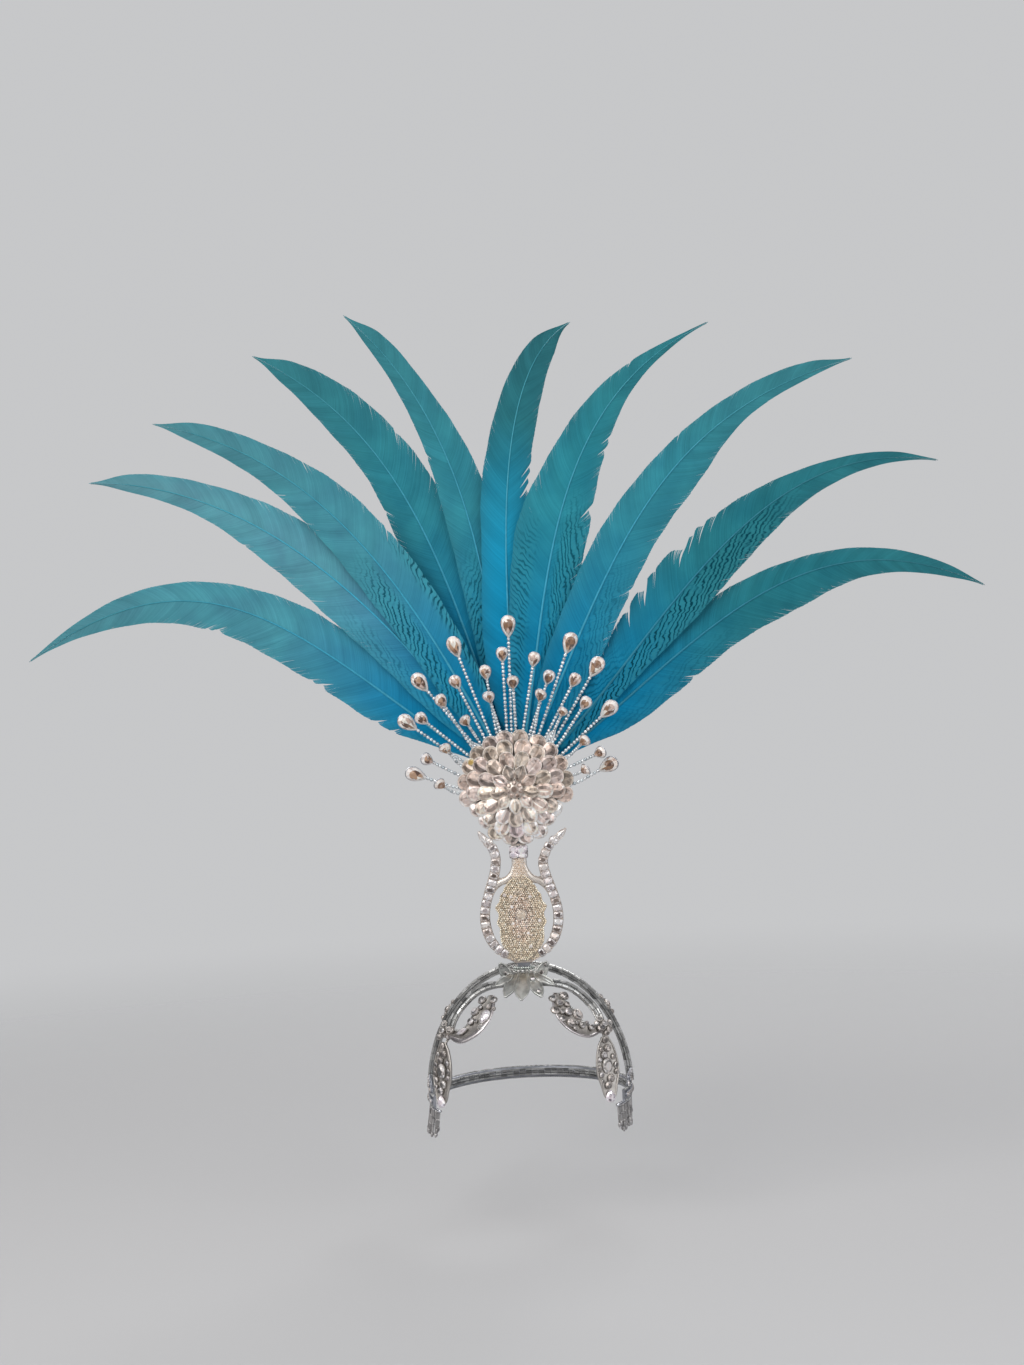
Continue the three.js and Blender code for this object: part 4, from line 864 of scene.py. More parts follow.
PEAR_OUT = pear(14)
PEAR = cut(PEAR_OUT, 1.0, table=0.5, mid=0.74, girdle=0.25)
DROP_SHADES = ((0.0, 0.0, 0.08, 0.24, 0.38, 0.3), (0.06, 0.12, 0.2, 0.26, 0.24, 0.12), (0.46, 0.28, 0.16, 0.1, 0.0, 0.0), (0.4, 0.4, 0.2, 0, 0, 0), (0, 0, 0.6, 0.4, 0, 0))
HEART = np.array([(0.12, 0.065, 0.045), (0.26, 0.15, 0.09), (0.46, 0.29, 0.19), (0.58, 0.44, 0.38), (0.78, 0.76, 0.70)])
HEART_SHARE = (0.28, 0.27, 0.2, 0.15, 0.1)


def spray(i, row):
    x, z, y, size, root_deg = row
    rng = np.random.default_rng(2000 + i)
    long, wide, thick = DROPS[size]
    spot = np.array([x, y, z], float)
    tip_deg = math.degrees(math.atan2(x - FAN[0], z - FAN[1]))
    root = polar(root_deg, 41.6, -19.3)
    bend = polar(root_deg + 0.3 * (tip_deg - root_deg), 56.5, -19.6)
    way = unit(spot - bend)
    neck = spot - way * long * DROP_AT
    drop = neck + way * long / 2
    piece = Piece()
    # beaded wire, curving gently out of the rosette
    path = catmull([root, root * 0.4 + bend * 0.6, bend * 0.85 + neck * 0.15, bend * 0.45 + neck * 0.55, neck + way * 0.6], 60)
    tube(piece, path, 0.42, 6, 1, (0.7, 0.7, 0.72))

    def tints(n):
        k = np.arange(n) + i
        bright = np.array([(0.93, 0.97, 0.98), (0.80, 0.86, 0.88), (0.97, 0.98, 0.98), (0.56, 0.62, 0.65)])
        return np.clip(bright[(k % 4)] * rng.uniform(0.82, 1.08, (n, 1)), 0, 1)

    beads(piece, path, 3.7, 1.6, fill=0.84, tints=tints, slot=2, rng=rng)
    # drop: faceted both sides over a silver rim
    side = unit(np.cross(way, [0, -1, 0]))
    face = np.cross(side, way)
    roll = rng.normal(0, 0.16)
    face = unit(face * math.cos(roll) + side * math.sin(roll))
    palette = WARM * 0.55 + CLEAR * 0.4 if rng.random() < 0.7 else CLEAR * 0.85 + ROSE * 0.1
    tint = shades(rng, PEAR[2], palette, 1, DROP_SHADES)
    c = PEAR[0][PEAR[1]].mean(1)                    # pale at the edge and the neck, a few broad dark and warm glimpses inside: painted reflections, with a painted highlight at the neck
    sector = np.floor((np.degrees(np.arctan2(c[:, 1], c[:, 0])) + rng.uniform(0, 360)) % 360 / 72).astype(int)
    inside = HEART[rng.choice(len(HEART), 5, p=HEART_SHARE)][sector] * rng.uniform(0.85, 1.1, (len(c), 1))
    heart = np.isin(PEAR[2], (0, 1)) & (rng.random(len(c)) < 0.86)
    tint[0, heart] = inside[heart]
    # painted highlight: facets towards the neck end are blended to pale
    lit = smooth(-0.25, -0.9, c[:, 0])[None, :, None]
    tint = np.clip(tint * (1 - 0.7 * lit) + np.array([0.80, 0.82, 0.79]) * 0.7 * lit, 0, 1)
    place(piece, PEAR, drop + face * 0.2, way, face, (long / 2, wide / 2, thick * 0.55), tint, 0)
    place(piece, PEAR, drop - face * 0.2, way, -face, (long / 2, wide / 2, thick * 0.4), shades(rng, PEAR[2], CLEAR, 1), 0)
    rim = catmull(np.c_[pear(22) * 1.0, np.zeros(22)], 34, True)
    rim = drop + (rim[:, :1] * (long / 2 + 0.15)) * way + (rim[:, 1:2] * (wide / 2 + 0.15)) * np.cross(face, way)
    tube(piece, rim, 0.5, 6, 1, (0.85, 0.85, 0.87), closed=True)
    cap = np.array([neck - way * 1.2, neck, neck + way * 1.4])
    tube(piece, cap, [1.0, 1.5, 1.1], 8, 1)
    piece.make(f"spray_jewel_{i:02d}", [DROP_GLASS, SILVER, BEAD], "crystal", f"spray_{i:02d}")


for i, row in enumerate(SPRAYS, 1):
    spray(i, row)


# -------------------------------------------------------------------- rosette
ROSE_SHADES = ((0.15, 0.35, 0.3, 0.12, 0.08, 0.0), (0.25, 0.3, 0.24, 0.12, 0.07, 0.02), (0.45, 0.3, 0.15, 0.07, 0.03, 0.0), (0.3, 0.4, 0.3, 0, 0, 0), (0, 0, 0.6, 0.4, 0, 0))
ROSE_TOP = ((0.3, 0.3, 0.2, 0.15, 0.05, 0.0), (0.0, 0.12, 0.26, 0.34, 0.23, 0.05), (0.46, 0.3, 0.17, 0.07, 0.0, 0.0), (0.4, 0.4, 0.2, 0, 0, 0), (0, 0, 0.6, 0.4, 0, 0))
ROSE_LOW = ((0.4, 0.35, 0.2, 0.05, 0.0, 0.0), (0.35, 0.3, 0.2, 0.1, 0.05, 0.0), (0.5, 0.3, 0.12, 0.05, 0.03, 0.0), (0.4, 0.4, 0.2, 0, 0, 0), (0, 0, 0.6, 0.4, 0, 0))
PEAR14 = cut(pear(14, m=0.7), 1.0, table=(0.6, 0.2), mid=(0.86, 0.72), girdle=0.25)
NAVETTE = cut(navette(12), 1.0, table=(0.55, 0.2), mid=(0.8, 0.7), girdle=0.25)
PETAL_BASE = np.array([(0.68, 0.54, 0.47), (0.63, 0.525, 0.45), (0.67, 0.55, 0.51), (0.64, 0.54, 0.45), (0.78, 0.65, 0.60)])


def petal_tints(rng, template, base, heart):
    """Colour of each facet: painted shade on one side of the ridge, painted highlights along the edge, browner towards
    the round end.
    """
    c = template[0][template[1]].mean(1)
    kind = template[2]
    # painted light and shade: a random side of the ridge dark, the other side and the edge pale
    side = np.sign(c[:, 1]) * (1 if rng.random() < 0.62 else -1)
    tone = np.select([kind == 0, kind == 1, kind == 2, kind == 3], [np.where(side > 0, 0.7, 1.1), np.where(side > 0, 0.36, 0.8), np.where(side > 0, 0.85, 1.2), 0.9], 0.6)
    tone = tone * rng.choice([1.0, 1.35, 0.6], len(c), p=(0.72, 0.14, 0.14)) * rng.uniform(0.9, 1.1, len(c))
    inner = np.isin(kind, (0, 1)) * smooth(-0.1, 0.55, c[:, 0]) * heart
    tint = base * tone[:, None]
    return np.clip(tint * (1 - inner[:, None] * np.array([0.34, 0.4, 0.45])), 0, 1)[None]


def ring(row, tilt, template, wide_k):
    name, inner, outer, low, waist, stones, back = row
    rng = np.random.default_rng(3000 + stones)
    piece = Piece()
    a = (np.arange(stones) + 0.5) / stones * 2 * np.pi
    deg = np.degrees(np.arccos(np.cos(a)))
    reach = outer + (low - outer) * smooth(-0.1, 0.6, -np.cos(a)) - waist * np.exp(-(((deg - WAIST_DEG) / WAIST_SPREAD) ** 2))
    long = np.minimum(reach - inner + 0.6, 21.0)
    wide = 2 * np.pi * (reach - 0.38 * long) / stones * wide_k
    b = a + rng.normal(0, 0.022, stones)
    r = reach - long / 2
    tl = np.radians(tilt + rng.normal(0, 2.5, stones))
    radial = np.stack([np.sin(b), np.zeros(stones), np.cos(b)], 1)
    fwd = np.array([0.0, -1.0, 0.0])
    along = unit(radial * np.cos(tl)[:, None] - fwd * np.sin(tl)[:, None])
    out = unit(fwd * np.cos(tl)[:, None] + radial * np.sin(tl)[:, None])
    at = np.stack([FAN[0] + r * np.sin(b), np.full(stones, back), FAN[1] + r * np.cos(b)], 1) + fwd * (long / 2 * np.sin(tl) + 0.15)[:, None]
    flash = int(np.argmin(np.abs(np.degrees(a) - 119))) if inner > 30 else -1      # one stone painted white all over, a painted highlight where it catches the light whole
    for j in range(stones):
        # painted light and shade: stones darker towards the top of the rosette, paler towards the bottom
        base = PETAL_BASE[rng.integers(5)] * np.interp(deg[j], [0, 60, 105, 150], [0.82, 0.93, 1.25, 1.75]) * rng.choice([1.0, 1.3, 0.76], p=(0.66, 0.17, 0.17))
        base = base * (1 + smooth(95, 140, deg[j]) * np.array([0.0, 0.035, 0.06]))
        if deg[j] > 160 and inner > 20:
            base = base * np.array([1.0, 0.99, 1.06])
        tint = petal_tints(rng, template, base, (0.9 if deg[j] < 70 else 0.35) * (1.0 if inner > 20 else 0.6))
        # painted highlight: the whole stone is tinted near white
        if j == flash:
            tint = np.full_like(tint, 0.97)
        place(piece, template, at[j], along[j], out[j], (long[j] / 2, wide[j] / 2, 3.6), tint, 0)
        outline = pear(20, m=0.7) if template is PEAR14 else navette(20)
        edge = at[j] + outline[:, :1] * (long[j] / 2) * along[j] + outline[:, 1:] * (wide[j] / 2) * np.cross(out[j], along[j]) + out[j] * 0.7
        tube(piece, edge, 0.36, 5, 1, closed=True)
    if inner > 30:                                  # a single amber stone at the upper left
        p = polar(-57, 47.2, back - 5.6)
        place(piece, CHATON, p, (0, 0, 1), fwd, (3.1, 3.1, 2.2), shades(rng, CHATON[2], AMBER, 1), 0)
        t = np.arange(18) / 18 * 2 * np.pi
        tube(piece, p + np.stack([3.3 * np.cos(t), 0.1 + 0 * t, 3.3 * np.sin(t)], 1), 0.5, 5, 1, closed=True)
    piece.make(name + "_stones", [ROSE_GLASS, PETAL_RIM], "crystal", name)


for row, tilt, template, wk in zip(RINGS, (7, 8, 9, 11), (PEAR14, PEAR14, PEAR14, NAVETTE), (1.07, 1.07, 1.05, 1.0)):
    ring(row, tilt, template, wk)


def rosette_middle():
    rng = np.random.default_rng(31)
    piece = Piece()
    fwd = np.array([0.0, -1.0, 0.0])
    centre = np.array([FAN[0], -44.7, FAN[1]])
    # low dome that carries the stones
    rr, yy = np.array([8.6, 8.2, 6.4, 3.4, 0.05]), np.array([0.0, 1.2, 2.4, 3.1, 3.3])
    a = np.arange(20) / 20 * 2 * np.pi
    pts = np.stack([centre + np.array([r * math.sin(t), -y, r * math.cos(t)]) for r, y in zip(rr, yy) for t in a])
    piece.add(pts, grid_faces(5, 20, True), 1, soft=True)
    piece.add(pts[:20], np.stack([np.zeros(18, int), np.arange(2, 20), np.arange(1, 19)], 1), 1)
    place(piece, CHATON10, centre + fwd * 3.2, (0, 0, 1), fwd, (3.1, 3.1, 2.2), shades(rng, CHATON10[2], ROSE * 0.66, 1, ROSE_TOP), 0)
    t = np.arange(7) / 7 * 2 * np.pi
    radial = np.stack([np.sin(t), 0 * t, np.cos(t)], 1)
    place(piece, CHATON, centre + radial * 5.9 + fwd * 2.1, radial, fwd + 0.5 * radial, (2.35, 2.35, 1.7), shades(rng, CHATON[2], ROSE * 0.7, 7, ROSE_TOP), 0)
    piece.make("rosette_center_stones", [ROSE_GLASS, PEWTER], "crystal", "rosette_center")


rosette_middle()


# ----------------------------------------------------------------------- lyre
def plate(piece, outer, holes, front, back, slot=0):
    """Flat plate between two depths from outlines seen from the front (x, z)."""
    loops = [np.asarray(p, float) for p in [outer, *holes]]
    flat = [[Vector((x, z, 0)) for x, z in p] for p in loops]
    tris = np.array(tessellate_polygon(flat))
    allp = np.vstack(loops)
    n = len(allp)
    p0 = np.stack([allp[:, 0], np.full(n, front), allp[:, 1]], 1)
    p1 = np.stack([allp[:, 0], np.full(n, back), allp[:, 1]], 1)
    area = np.cross(allp[tris[:, 1]] - allp[tris[:, 0]], allp[tris[:, 2]] - allp[tris[:, 0]])
    tris = np.where((area < 0)[:, None], tris[:, ::-1], tris)      # faces -y when counter-clockwise in x,z
    walls, k = [], 0
    for j, p in enumerate(loops):
        i = np.arange(len(p))
        nxt = (i + 1) % len(p)
        turn = np.sum(p[:, 0] * np.roll(p[:, 1], -1) - np.roll(p[:, 0], -1) * p[:, 1]) > 0
        q = np.stack([k + i, n + k + i, n + k + nxt, k + nxt], 1)
        walls.append(q if turn == (j == 0) else q[:, ::-1])
        k += len(p)
    piece.add(np.vstack([p0, p1]), np.vstack([tris, tris[:, ::-1] + n]), slot)
    piece.faces.append(np.vstack(walls) + piece.count - 2 * n)
    piece.slots.append(np.full(n, slot)); piece.tints.append(np.full((n, 3), 0.8)); piece.soft.append(np.full(n, False))


CUP = cut(cushion(12, p=5.0), 1.0, table=0.9, mid=0.96, girdle=0.7)
SQUARE = cut(cushion(12, p=4.0), 1.0, table=(0.5, 0.5), mid=(0.82, 0.82), girdle=0.25)
ARM_LIGHT = ((0.35, 0.35, 0.2, 0.1, 0.0, 0.0), (0.35, 0.3, 0.2, 0.1, 0.05, 0.0), (0.45, 0.3, 0.15, 0.1, 0.0, 0.0), (0.2, 0.3, 0.3, 0.2, 0, 0), (0, 0, 0.5, 0.5, 0, 0))
ARM_DARK = ((0.0, 0.0, 0.05, 0.2, 0.4, 0.35), (0.08, 0.14, 0.2, 0.22, 0.2, 0.16), (0.35, 0.25, 0.2, 0.12, 0.08, 0.0), (0.2, 0.3, 0.3, 0.2, 0, 0), (0, 0, 0.5, 0.5, 0, 0))


def lyre():
    rng = np.random.default_rng(41)
    piece = Piece()
    outer = [(7.0, 9.2)] + [(o, z) for z, o, _ in ARM] + [(40.2, 131.5)]
    inner = [(i, z) for z, _, i in ARM if i and z > 85][::-1]
    slot_curve = [(17, 87.6), (11.8, 90.2), (7.6, 96.5), (6.6, 101.5)]
    r_out, r_in, r_slot = catmull(outer, 90), catmull(inner, 34), catmull(slot_curve, 20)
    right = np.vstack([r_out, r_in, r_slot, [(6.6, 118.8)]])
    left = right[::-1] * [-1, 1]
    hole_r = catmull([(0, 18.6), (12, 20.6)] + [(i, z) for z, _, i in ARM if i and z < 70] + [(22.6, 76), (13, 83), (0, 86)], 60)
    hole = np.vstack([hole_r, hole_r[1:-1][::-1] * [-1, 1]])
    fwd = np.array([0.0, -1.0, 0.0])

    def lean(line):
        """The arms' tops both lean to the viewer's right."""
        line = np.asarray(line, float)
        top = np.clip((line[:, 1] - 100) / 31.5, 0, 1) * smooth(10, 16, np.abs(line[:, 0]))
        return np.stack([line[:, 0] + 4 * top, line[:, 1]], 1)

    plate(piece, lean(np.vstack([right, left])), [hole], PLATE_FRONT, PLATE_BACK, 0)

    def at(line, y):
        line = lean(line)
        return np.stack([line[:, 0], np.full(len(line), y), line[:, 1]], 1)

    for k in (1, -1):
        flip = np.array([k, 1])
        # milled edges of the band
        tube(piece, at(catmull(outer, 120) * flip * [0.985, 1.0] + [0, 0.3], PLATE_FRONT - 0.3), 0.45, 6, 1, up=fwd)
        tube(piece, at(r_in * flip + [0.5 * k, 0], PLATE_FRONT - 0.3), 0.45, 6, 1, up=fwd)
        lower = hole_r[3:46] * flip + [0.5 * k, 0]
        tube(piece, at(lower, PLATE_FRONT - 0.3), 0.45, 6, 1, up=fwd)
        # one row of large cushion stones up the arm, dark at the heart
        line = catmull(np.array(ARM_LINE) * flip, 200)
        n = int(length(line) / 6.2)
        p = even(line, n)
        way = unit(np.gradient(p, axis=0))
        pos = at(p, PLATE_FRONT - 0.1)
        dirs = np.stack([way[:, 0], 0 * way[:, 0], way[:, 1]], 1)
        pitch = length(line) / (n - 1)
        place(piece, CUP, pos, dirs, fwd, (pitch * 0.48, 4.5, 0.9), (0.5, 0.49, 0.5), 1)
        for j in range(n):
            pal = 0.86 * (CLEAR * 0.75 + LILAC * 0.25, CLEAR * 0.7 + ROSE * 0.28, COOL * 0.25 + CLEAR * 0.75)[rng.choice(3, p=(0.5, 0.3, 0.2))]
            dark = j % 2 == 0
            w = ARM_DARK if dark else ARM_LIGHT
            face = unit(fwd + 0.1 * rng.normal(0, 1, 3) * [1, 0, 1])
            place(piece, SQUARE, pos[j] + fwd * 0.7, dirs[j], face, (pitch * 0.47, 4.3, 1.9), shades(rng, SQUARE[2], pal, 1, w), 2)
        # leaf tips: two pointed stones, the smaller inside the larger
        for base, tip, w, lift in (((29.6, 118.6), (40.8, 131.6), 3.1, 0.5), ((27.4, 117.4), (34.6, 127.2), 2.3, 1.0)):
            ends = at(np.array([base, tip]) * flip, PLATE_FRONT - lift)
            way = unit(ends[1] - ends[0])
            wide = (np.linalg.norm(ends[1] - ends[0]) / 2, w, 1.9)
            place(piece, NAVETTE, ends.mean(0), way, fwd, wide, shades(rng, NAVETTE[2], CLEAR * 0.86, 1, ROSE_LOW), 2)
            rim = ends.mean(0) + navette(20)[:, :1] * wide[0] * way + navette(20)[:, 1:] * wide[1] * np.cross(fwd, way) + fwd * 0.4
            tube(piece, rim, 0.32, 5, 1, closed=True)
        # smooth shoulder and neck, padded cloth
        shoulder = catmull(np.array([(23.6, 80.0), (18.2, 83.6), (11.6, 85.8), (6.6, 90.4), (3.8, 97.0), (3.2, 104.0), (3.2, 117.0)]) * flip, 46)
        s = np.linspace(0, 1, 46)
        tube(piece, at(shoulder, PLATE_FRONT - 0.15), np.interp(s, [0, 0.25, 0.5, 1], [2.2, 3.0, 3.6, 3.6]), 10, 3, up=fwd, flat=0.42)
    neck = even(np.array([(0.0, 86.0), (0.0, 117.5)]), 14)
    tube(piece, at(neck, PLATE_FRONT - 0.3), np.interp(np.linspace(0, 1, 14), [0, 0.3, 0.55, 1], [8.5, 6.4, 4.6, 4.4]), 12, 3, up=fwd, flat=0.32)
    # small champagne stones close over the foot, between the ends of the two rows
    foot = np.array([(x, z) for r, z in enumerate(np.arange(11.0, 24.6, 1.75)) for x in np.arange(-17 + (r % 2), 17.5, 2.0)])
    low_edge = np.interp(np.abs(foot[:, 0]), [0, 7, 14, 20], [9.4, 10.2, 13.4, 17.4])
    top_edge = np.interp(np.abs(foot[:, 0]), [0, 12, 17], [18.0, 20.0, 23.0])
    foot = foot[(foot[:, 1] > low_edge + 1.0) & (foot[:, 1] < top_edge) & (np.abs(foot[:, 0]) < 15.6 + 0.25 * (foot[:, 1] - 17))]
    inside = np.abs(foot[:, 0]) < np.interp(foot[:, 1], [11, 13, 20, 24, 28], [2.0, 7.9, 13.8, 17.6, 19.8])
    foot = foot[~inside] + rng.normal(0, 0.12, (int((~inside).sum()), 2))
    place(piece, TINY, at(foot, PLATE_FRONT - 0.1), (0.2, 0, 1), fwd, rng.uniform(0.86, 1.08, (len(foot), 1)) * np.array([[1.05, 1.05, 1.1]]), shades(rng, TINY[2], CHAMPAGNE, len(foot)), 4)
    # and over the neck
    neck = np.array([(x, z) for r, z in enumerate(np.arange(89.2, 105.2, 1.75)) for x in np.arange(-9 + (r % 2), 9.5, 2.0)])
    neck = neck[np.abs(neck[:, 0]) < np.interp(neck[:, 1], [88, 92, 97, 102, 105], [9.4, 7.4, 5.9, 5.6, 5.6])]
    neck = neck + rng.normal(0, 0.12, neck.shape)
    bulge = np.interp(neck[:, 1], [86, 95.5, 103.3, 117.5], [8.5, 6.4, 4.6, 4.4])
    high = at(neck, PLATE_FRONT - 0.1)
    high[:, 1] -= 0.32 * np.sqrt(np.clip(bulge**2 - neck[:, 0] ** 2, 0, None))
    place(piece, TINY, high, (0.2, 0, 1), fwd, rng.uniform(0.86, 1.08, (len(neck), 1)) * np.array([[1.05, 1.05, 1.0]]), shades(rng, TINY[2], CHAMPAGNE * 0.5 + ROSE * 0.5, len(neck)), 4)
    piece.make("lyre_jewelled", [PEWTER, PEWTER, CRYSTAL, SATIN, CHAMP], "silver_trim", "lyre_plate")


lyre()


def collar():
    rng = np.random.default_rng(43)
    piece = Piece()
    fwd = np.array([0.0, -1.0, 0.0])
    box = catmull([(-8.4, 106.6), (-6.4, 105.7), (6.4, 105.7), (8.4, 106.6), (8.4, 116.2), (6.4, 117.1), (-6.4, 117.1), (-8.4, 116.2)], 40, True)
    plate(piece, box, [], -23.0, -21.4, 1)
    step = cut(cushion(8, p=6.0), 1.0, table=0.62, mid=0.9, girdle=0.35)
    w = ((0.45, 0.35, 0.2, 0, 0, 0), (0.4, 0.3, 0.2, 0.1, 0, 0), (0.4, 0.3, 0.2, 0.1, 0, 0), (0.3, 0.4, 0.3, 0, 0, 0), (0, 0, 0.6, 0.4, 0, 0))
    for x, z, a, b, high in ((-4.5, 114.0, 4.1, 3.2, 3.2), (-4.3, 108.6, 3.9, 2.9, 2.6), (2.9, 112.9, 3.9, 4.1, 3.5), (3.4, 107.9, 4.3, 2.3, 2.8), (6.9, 114.6, 1.7, 2.7, 2.4)):
        tilt = unit(fwd + rng.normal(0, 0.12, 3) * [1, 0, 1])
        place(piece, step, (x, -22.9, z), (1, 0, rng.normal(0, 0.12)), tilt, (a, b, high), shades(rng, step[2], np.clip(LILAC * 1.06, 0, 1), 1, w), 0)
    piece.make("neck_collar_stones", [CRYSTAL, LILAC_SILVER], "crystal", "neck_collar")


collar()


def applique():
    rng = np.random.default_rng(47)
    piece = Piece()
    fwd = np.array([0.0, -1.0, 0.0])
    right = catmull([(h, z) for z, h in SCALLOPS], 70)
    outline = np.vstack([[(0, 11)], right, [(4.4, 89), (0, 90.5), (-4.4, 89)], right[::-1] * [-1, 1]])
    plate(piece, outline, [], -23.2, -21.4, 1)
    zs, hs = right[:, 1], right[:, 0]

    def half(z):
        return np.interp(z, np.r_[11, zs, 89, 90.5], np.r_[2.0, hs, 4.4, 1.0])

    # corded edge
    upper = right[right[:, 1] > 27.5]
    edge = np.vstack([upper, [(4.4, 89), (0, 90.3), (-4.4, 89)], upper[::-1] * [-1, 1]])
    edge = np.stack([edge[:, 0] * 0.975, np.full(len(edge), -23.6), edge[:, 1]], 1)
    beads(piece, edge, 1.7, 0.85, tints=lambda n: CHAMPAGNE[rng.choice(4, n, p=(0.3, 0.4, 0.2, 0.1))], slot=2, rng=rng)
    # stones close set in bowed rows, in two raised tiers
    pts = []
    pitch = 1.98
    for r, z in enumerate(np.arange(12.6, 90.0, pitch * 0.87)):
        w = half(z) - (1.7 if z > 28 else 0.6)
        if w < 0.8:
            continue
        xs = np.arange(-np.floor(w / pitch) - 0.5 * (r % 2), w / pitch + 0.01) * pitch
        xs = xs[np.abs(xs) <= w]
        pts += [(x, z) for x in xs]
    pts = np.array(pts) + rng.normal(0, 0.16, (len(pts), 2))
    pts = pts[np.hypot(pts[:, 0], pts[:, 1] - 53.6) > 5.9]
    e = np.clip(np.abs(pts[:, 0]) / half(pts[:, 1]), 0, 1)
    tier = 0.9 * smooth(0.86, 0.72, np.hypot(pts[:, 0] / 20.0, (pts[:, 1] - 52) / 40.0)) + 0.7 * smooth(0.52, 0.42, np.hypot(pts[:, 0] / 20.0, (pts[:, 1] - 52) / 40.0))
    n = len(pts)
    at = np.stack([pts[:, 0], -23.2 - 0.9 * (1 - e**2) - tier * 0.5, pts[:, 1]], 1)
    out = unit(np.stack([0.3 * pts[:, 0] / 20 + rng.normal(0, 0.12, n), -np.ones(n), rng.normal(0, 0.12, n)], 1))
    size = rng.uniform(0.84, 1.08, (n, 1)) * np.array([[1.0, 1.0, 1.05]])
    tint = shades(rng, TINY[2], CHAMPAGNE, n, ((0.14, 0.3, 0.3, 0.16, 0.08, 0.02),) * 3 + ((0.1, 0.3, 0.4, 0.2, 0, 0), (0, 0, 0.5, 0.5, 0, 0)))
    tint *= rng.choice([1.16, 1.04, 0.9, 0.7], (n, 1, 1), p=(0.3, 0.35, 0.23, 0.12)) * np.array([1.0, 1.01, 1.05])
    rad = np.hypot(pts[:, 0] / 20.0, (pts[:, 1] - 52) / 40.0)
    band = np.sin(2 * np.pi * (rad / 0.19 + 0.25 * np.sin(3 * np.arctan2(pts[:, 0], pts[:, 1] - 52))))
    tint *= (1.05 + 0.13 * band)[:, None, None]
    tint *= 1 + smooth(0.75, 0.3, rad)[:, None, None] * np.array([0.06, 0.0, 0.07])
    place(piece, TINY, at, (0.2, 0, 1), out, size, np.clip(tint, 0, 1), 0)
    # a few larger stones catch the light, with painted glints in their bright facet tints
    big = np.array([(-8.4, 61.2), (8.8, 70.4), (-14.8, 72.2), (7.6, 24.6), (16.6, 47.6), (4.2, 42.8), (-7.6, 45.8), (-8.8, 70.6), (5.6, 36.6)])
    place(piece, CHATON, np.stack([big[:, 0], np.full(len(big), -24.4), big[:, 1]], 1), (0, 0, 1), fwd, (1.7, 1.7, 1.6), shades(rng, CHATON[2], CLEAR, len(big), ROSE_SHADES), 0)
    piece.make("vase_applique_stones", [CHAMP, GROUND, BEAD], "champagne_stone", "vase_applique")
    stone = Piece()
    c = np.array([0, -24.9, 53.6])
    place(stone, CHATON10, c + fwd * 0.2, (1, 0, 0), fwd, (4.5, 4.2, 3.2), shades(rng, CHATON10[2], CLEAR * 0.35 + CHAMPAGNE * 0.65, 1, ROSE_SHADES), 0)
    t = np.arange(30) / 30 * 2 * np.pi
    tube(stone, c + np.stack([4.7 * np.cos(t), -0.5 + 0 * t, 4.4 * np.sin(t)], 1), 0.6, 6, 1, closed=True)
    t = np.arange(16) / 16 * 2 * np.pi
    place(stone, SEED, c + np.stack([5.5 * np.cos(t), 0 * t, 5.2 * np.sin(t)], 1), np.stack([-np.sin(t), 0 * t, np.cos(t)], 1), fwd, (1.9, 0.75, 0.75), CHAMPAGNE[1], 1, True)
    stone.make("vase_center_stone", [CRYSTAL, PEWTER], "crystal", "vase_stone")


applique()


# ----------------------------------------------------------------- head frame
def bead_grey(rng):
    def tints(n):
        pal = np.array([(0.38, 0.38, 0.37), (0.28, 0.28, 0.275), (0.54, 0.54, 0.53), (0.18, 0.18, 0.178)])
        return pal[rng.choice(4, n, p=(0.4, 0.3, 0.2, 0.1))] * rng.uniform(0.92, 1.05, (n, 1))
    return tints


def bead_pale(rng):
    def tints(n):
        pal = np.array([(0.60, 0.64, 0.60), (0.46, 0.50, 0.47), (0.76, 0.79, 0.75), (0.32, 0.35, 0.33)])
        return pal[rng.choice(4, n, p=(0.4, 0.3, 0.2, 0.1))] * rng.uniform(0.92, 1.05, (n, 1))
    return tints


def on_band(line, normal, offset, rise):
    t = tangents(line)
    side = np.cross(t, normal)
    return line + side * offset + normal * rise


def facet_tints(rng, template, base, dark):
    """Colour of each facet of a small stone, painted glints and shade: a dark or bright table, one side of the crown
    dark, the other pale.
    """
    c = template[0][template[1]].mean(1)
    kind = template[2]
    # painted shade on one side of the crown, painted highlight on the other
    way = rng.uniform(0, 2 * np.pi)
    side = np.cos(way) * c[:, 0] + np.sin(way) * c[:, 1]
    table = rng.choice([0.2, 0.5, 1.15], p=(0.7, 0.2, 0.1) if dark else (0.45, 0.3, 0.25))
    tone = np.select([kind == 0, kind == 1, kind == 2, kind == 3], [table, np.where(side > 0, 0.26, 0.72), np.where(side > 0, 0.62, 1.2), 0.6], 0.5)
    tone = tone * rng.choice([1.0, 1.5, 0.5], len(c), p=(0.74, 0.13, 0.13))
    return np.clip(base * tone[:, None], 0, 1)[None]


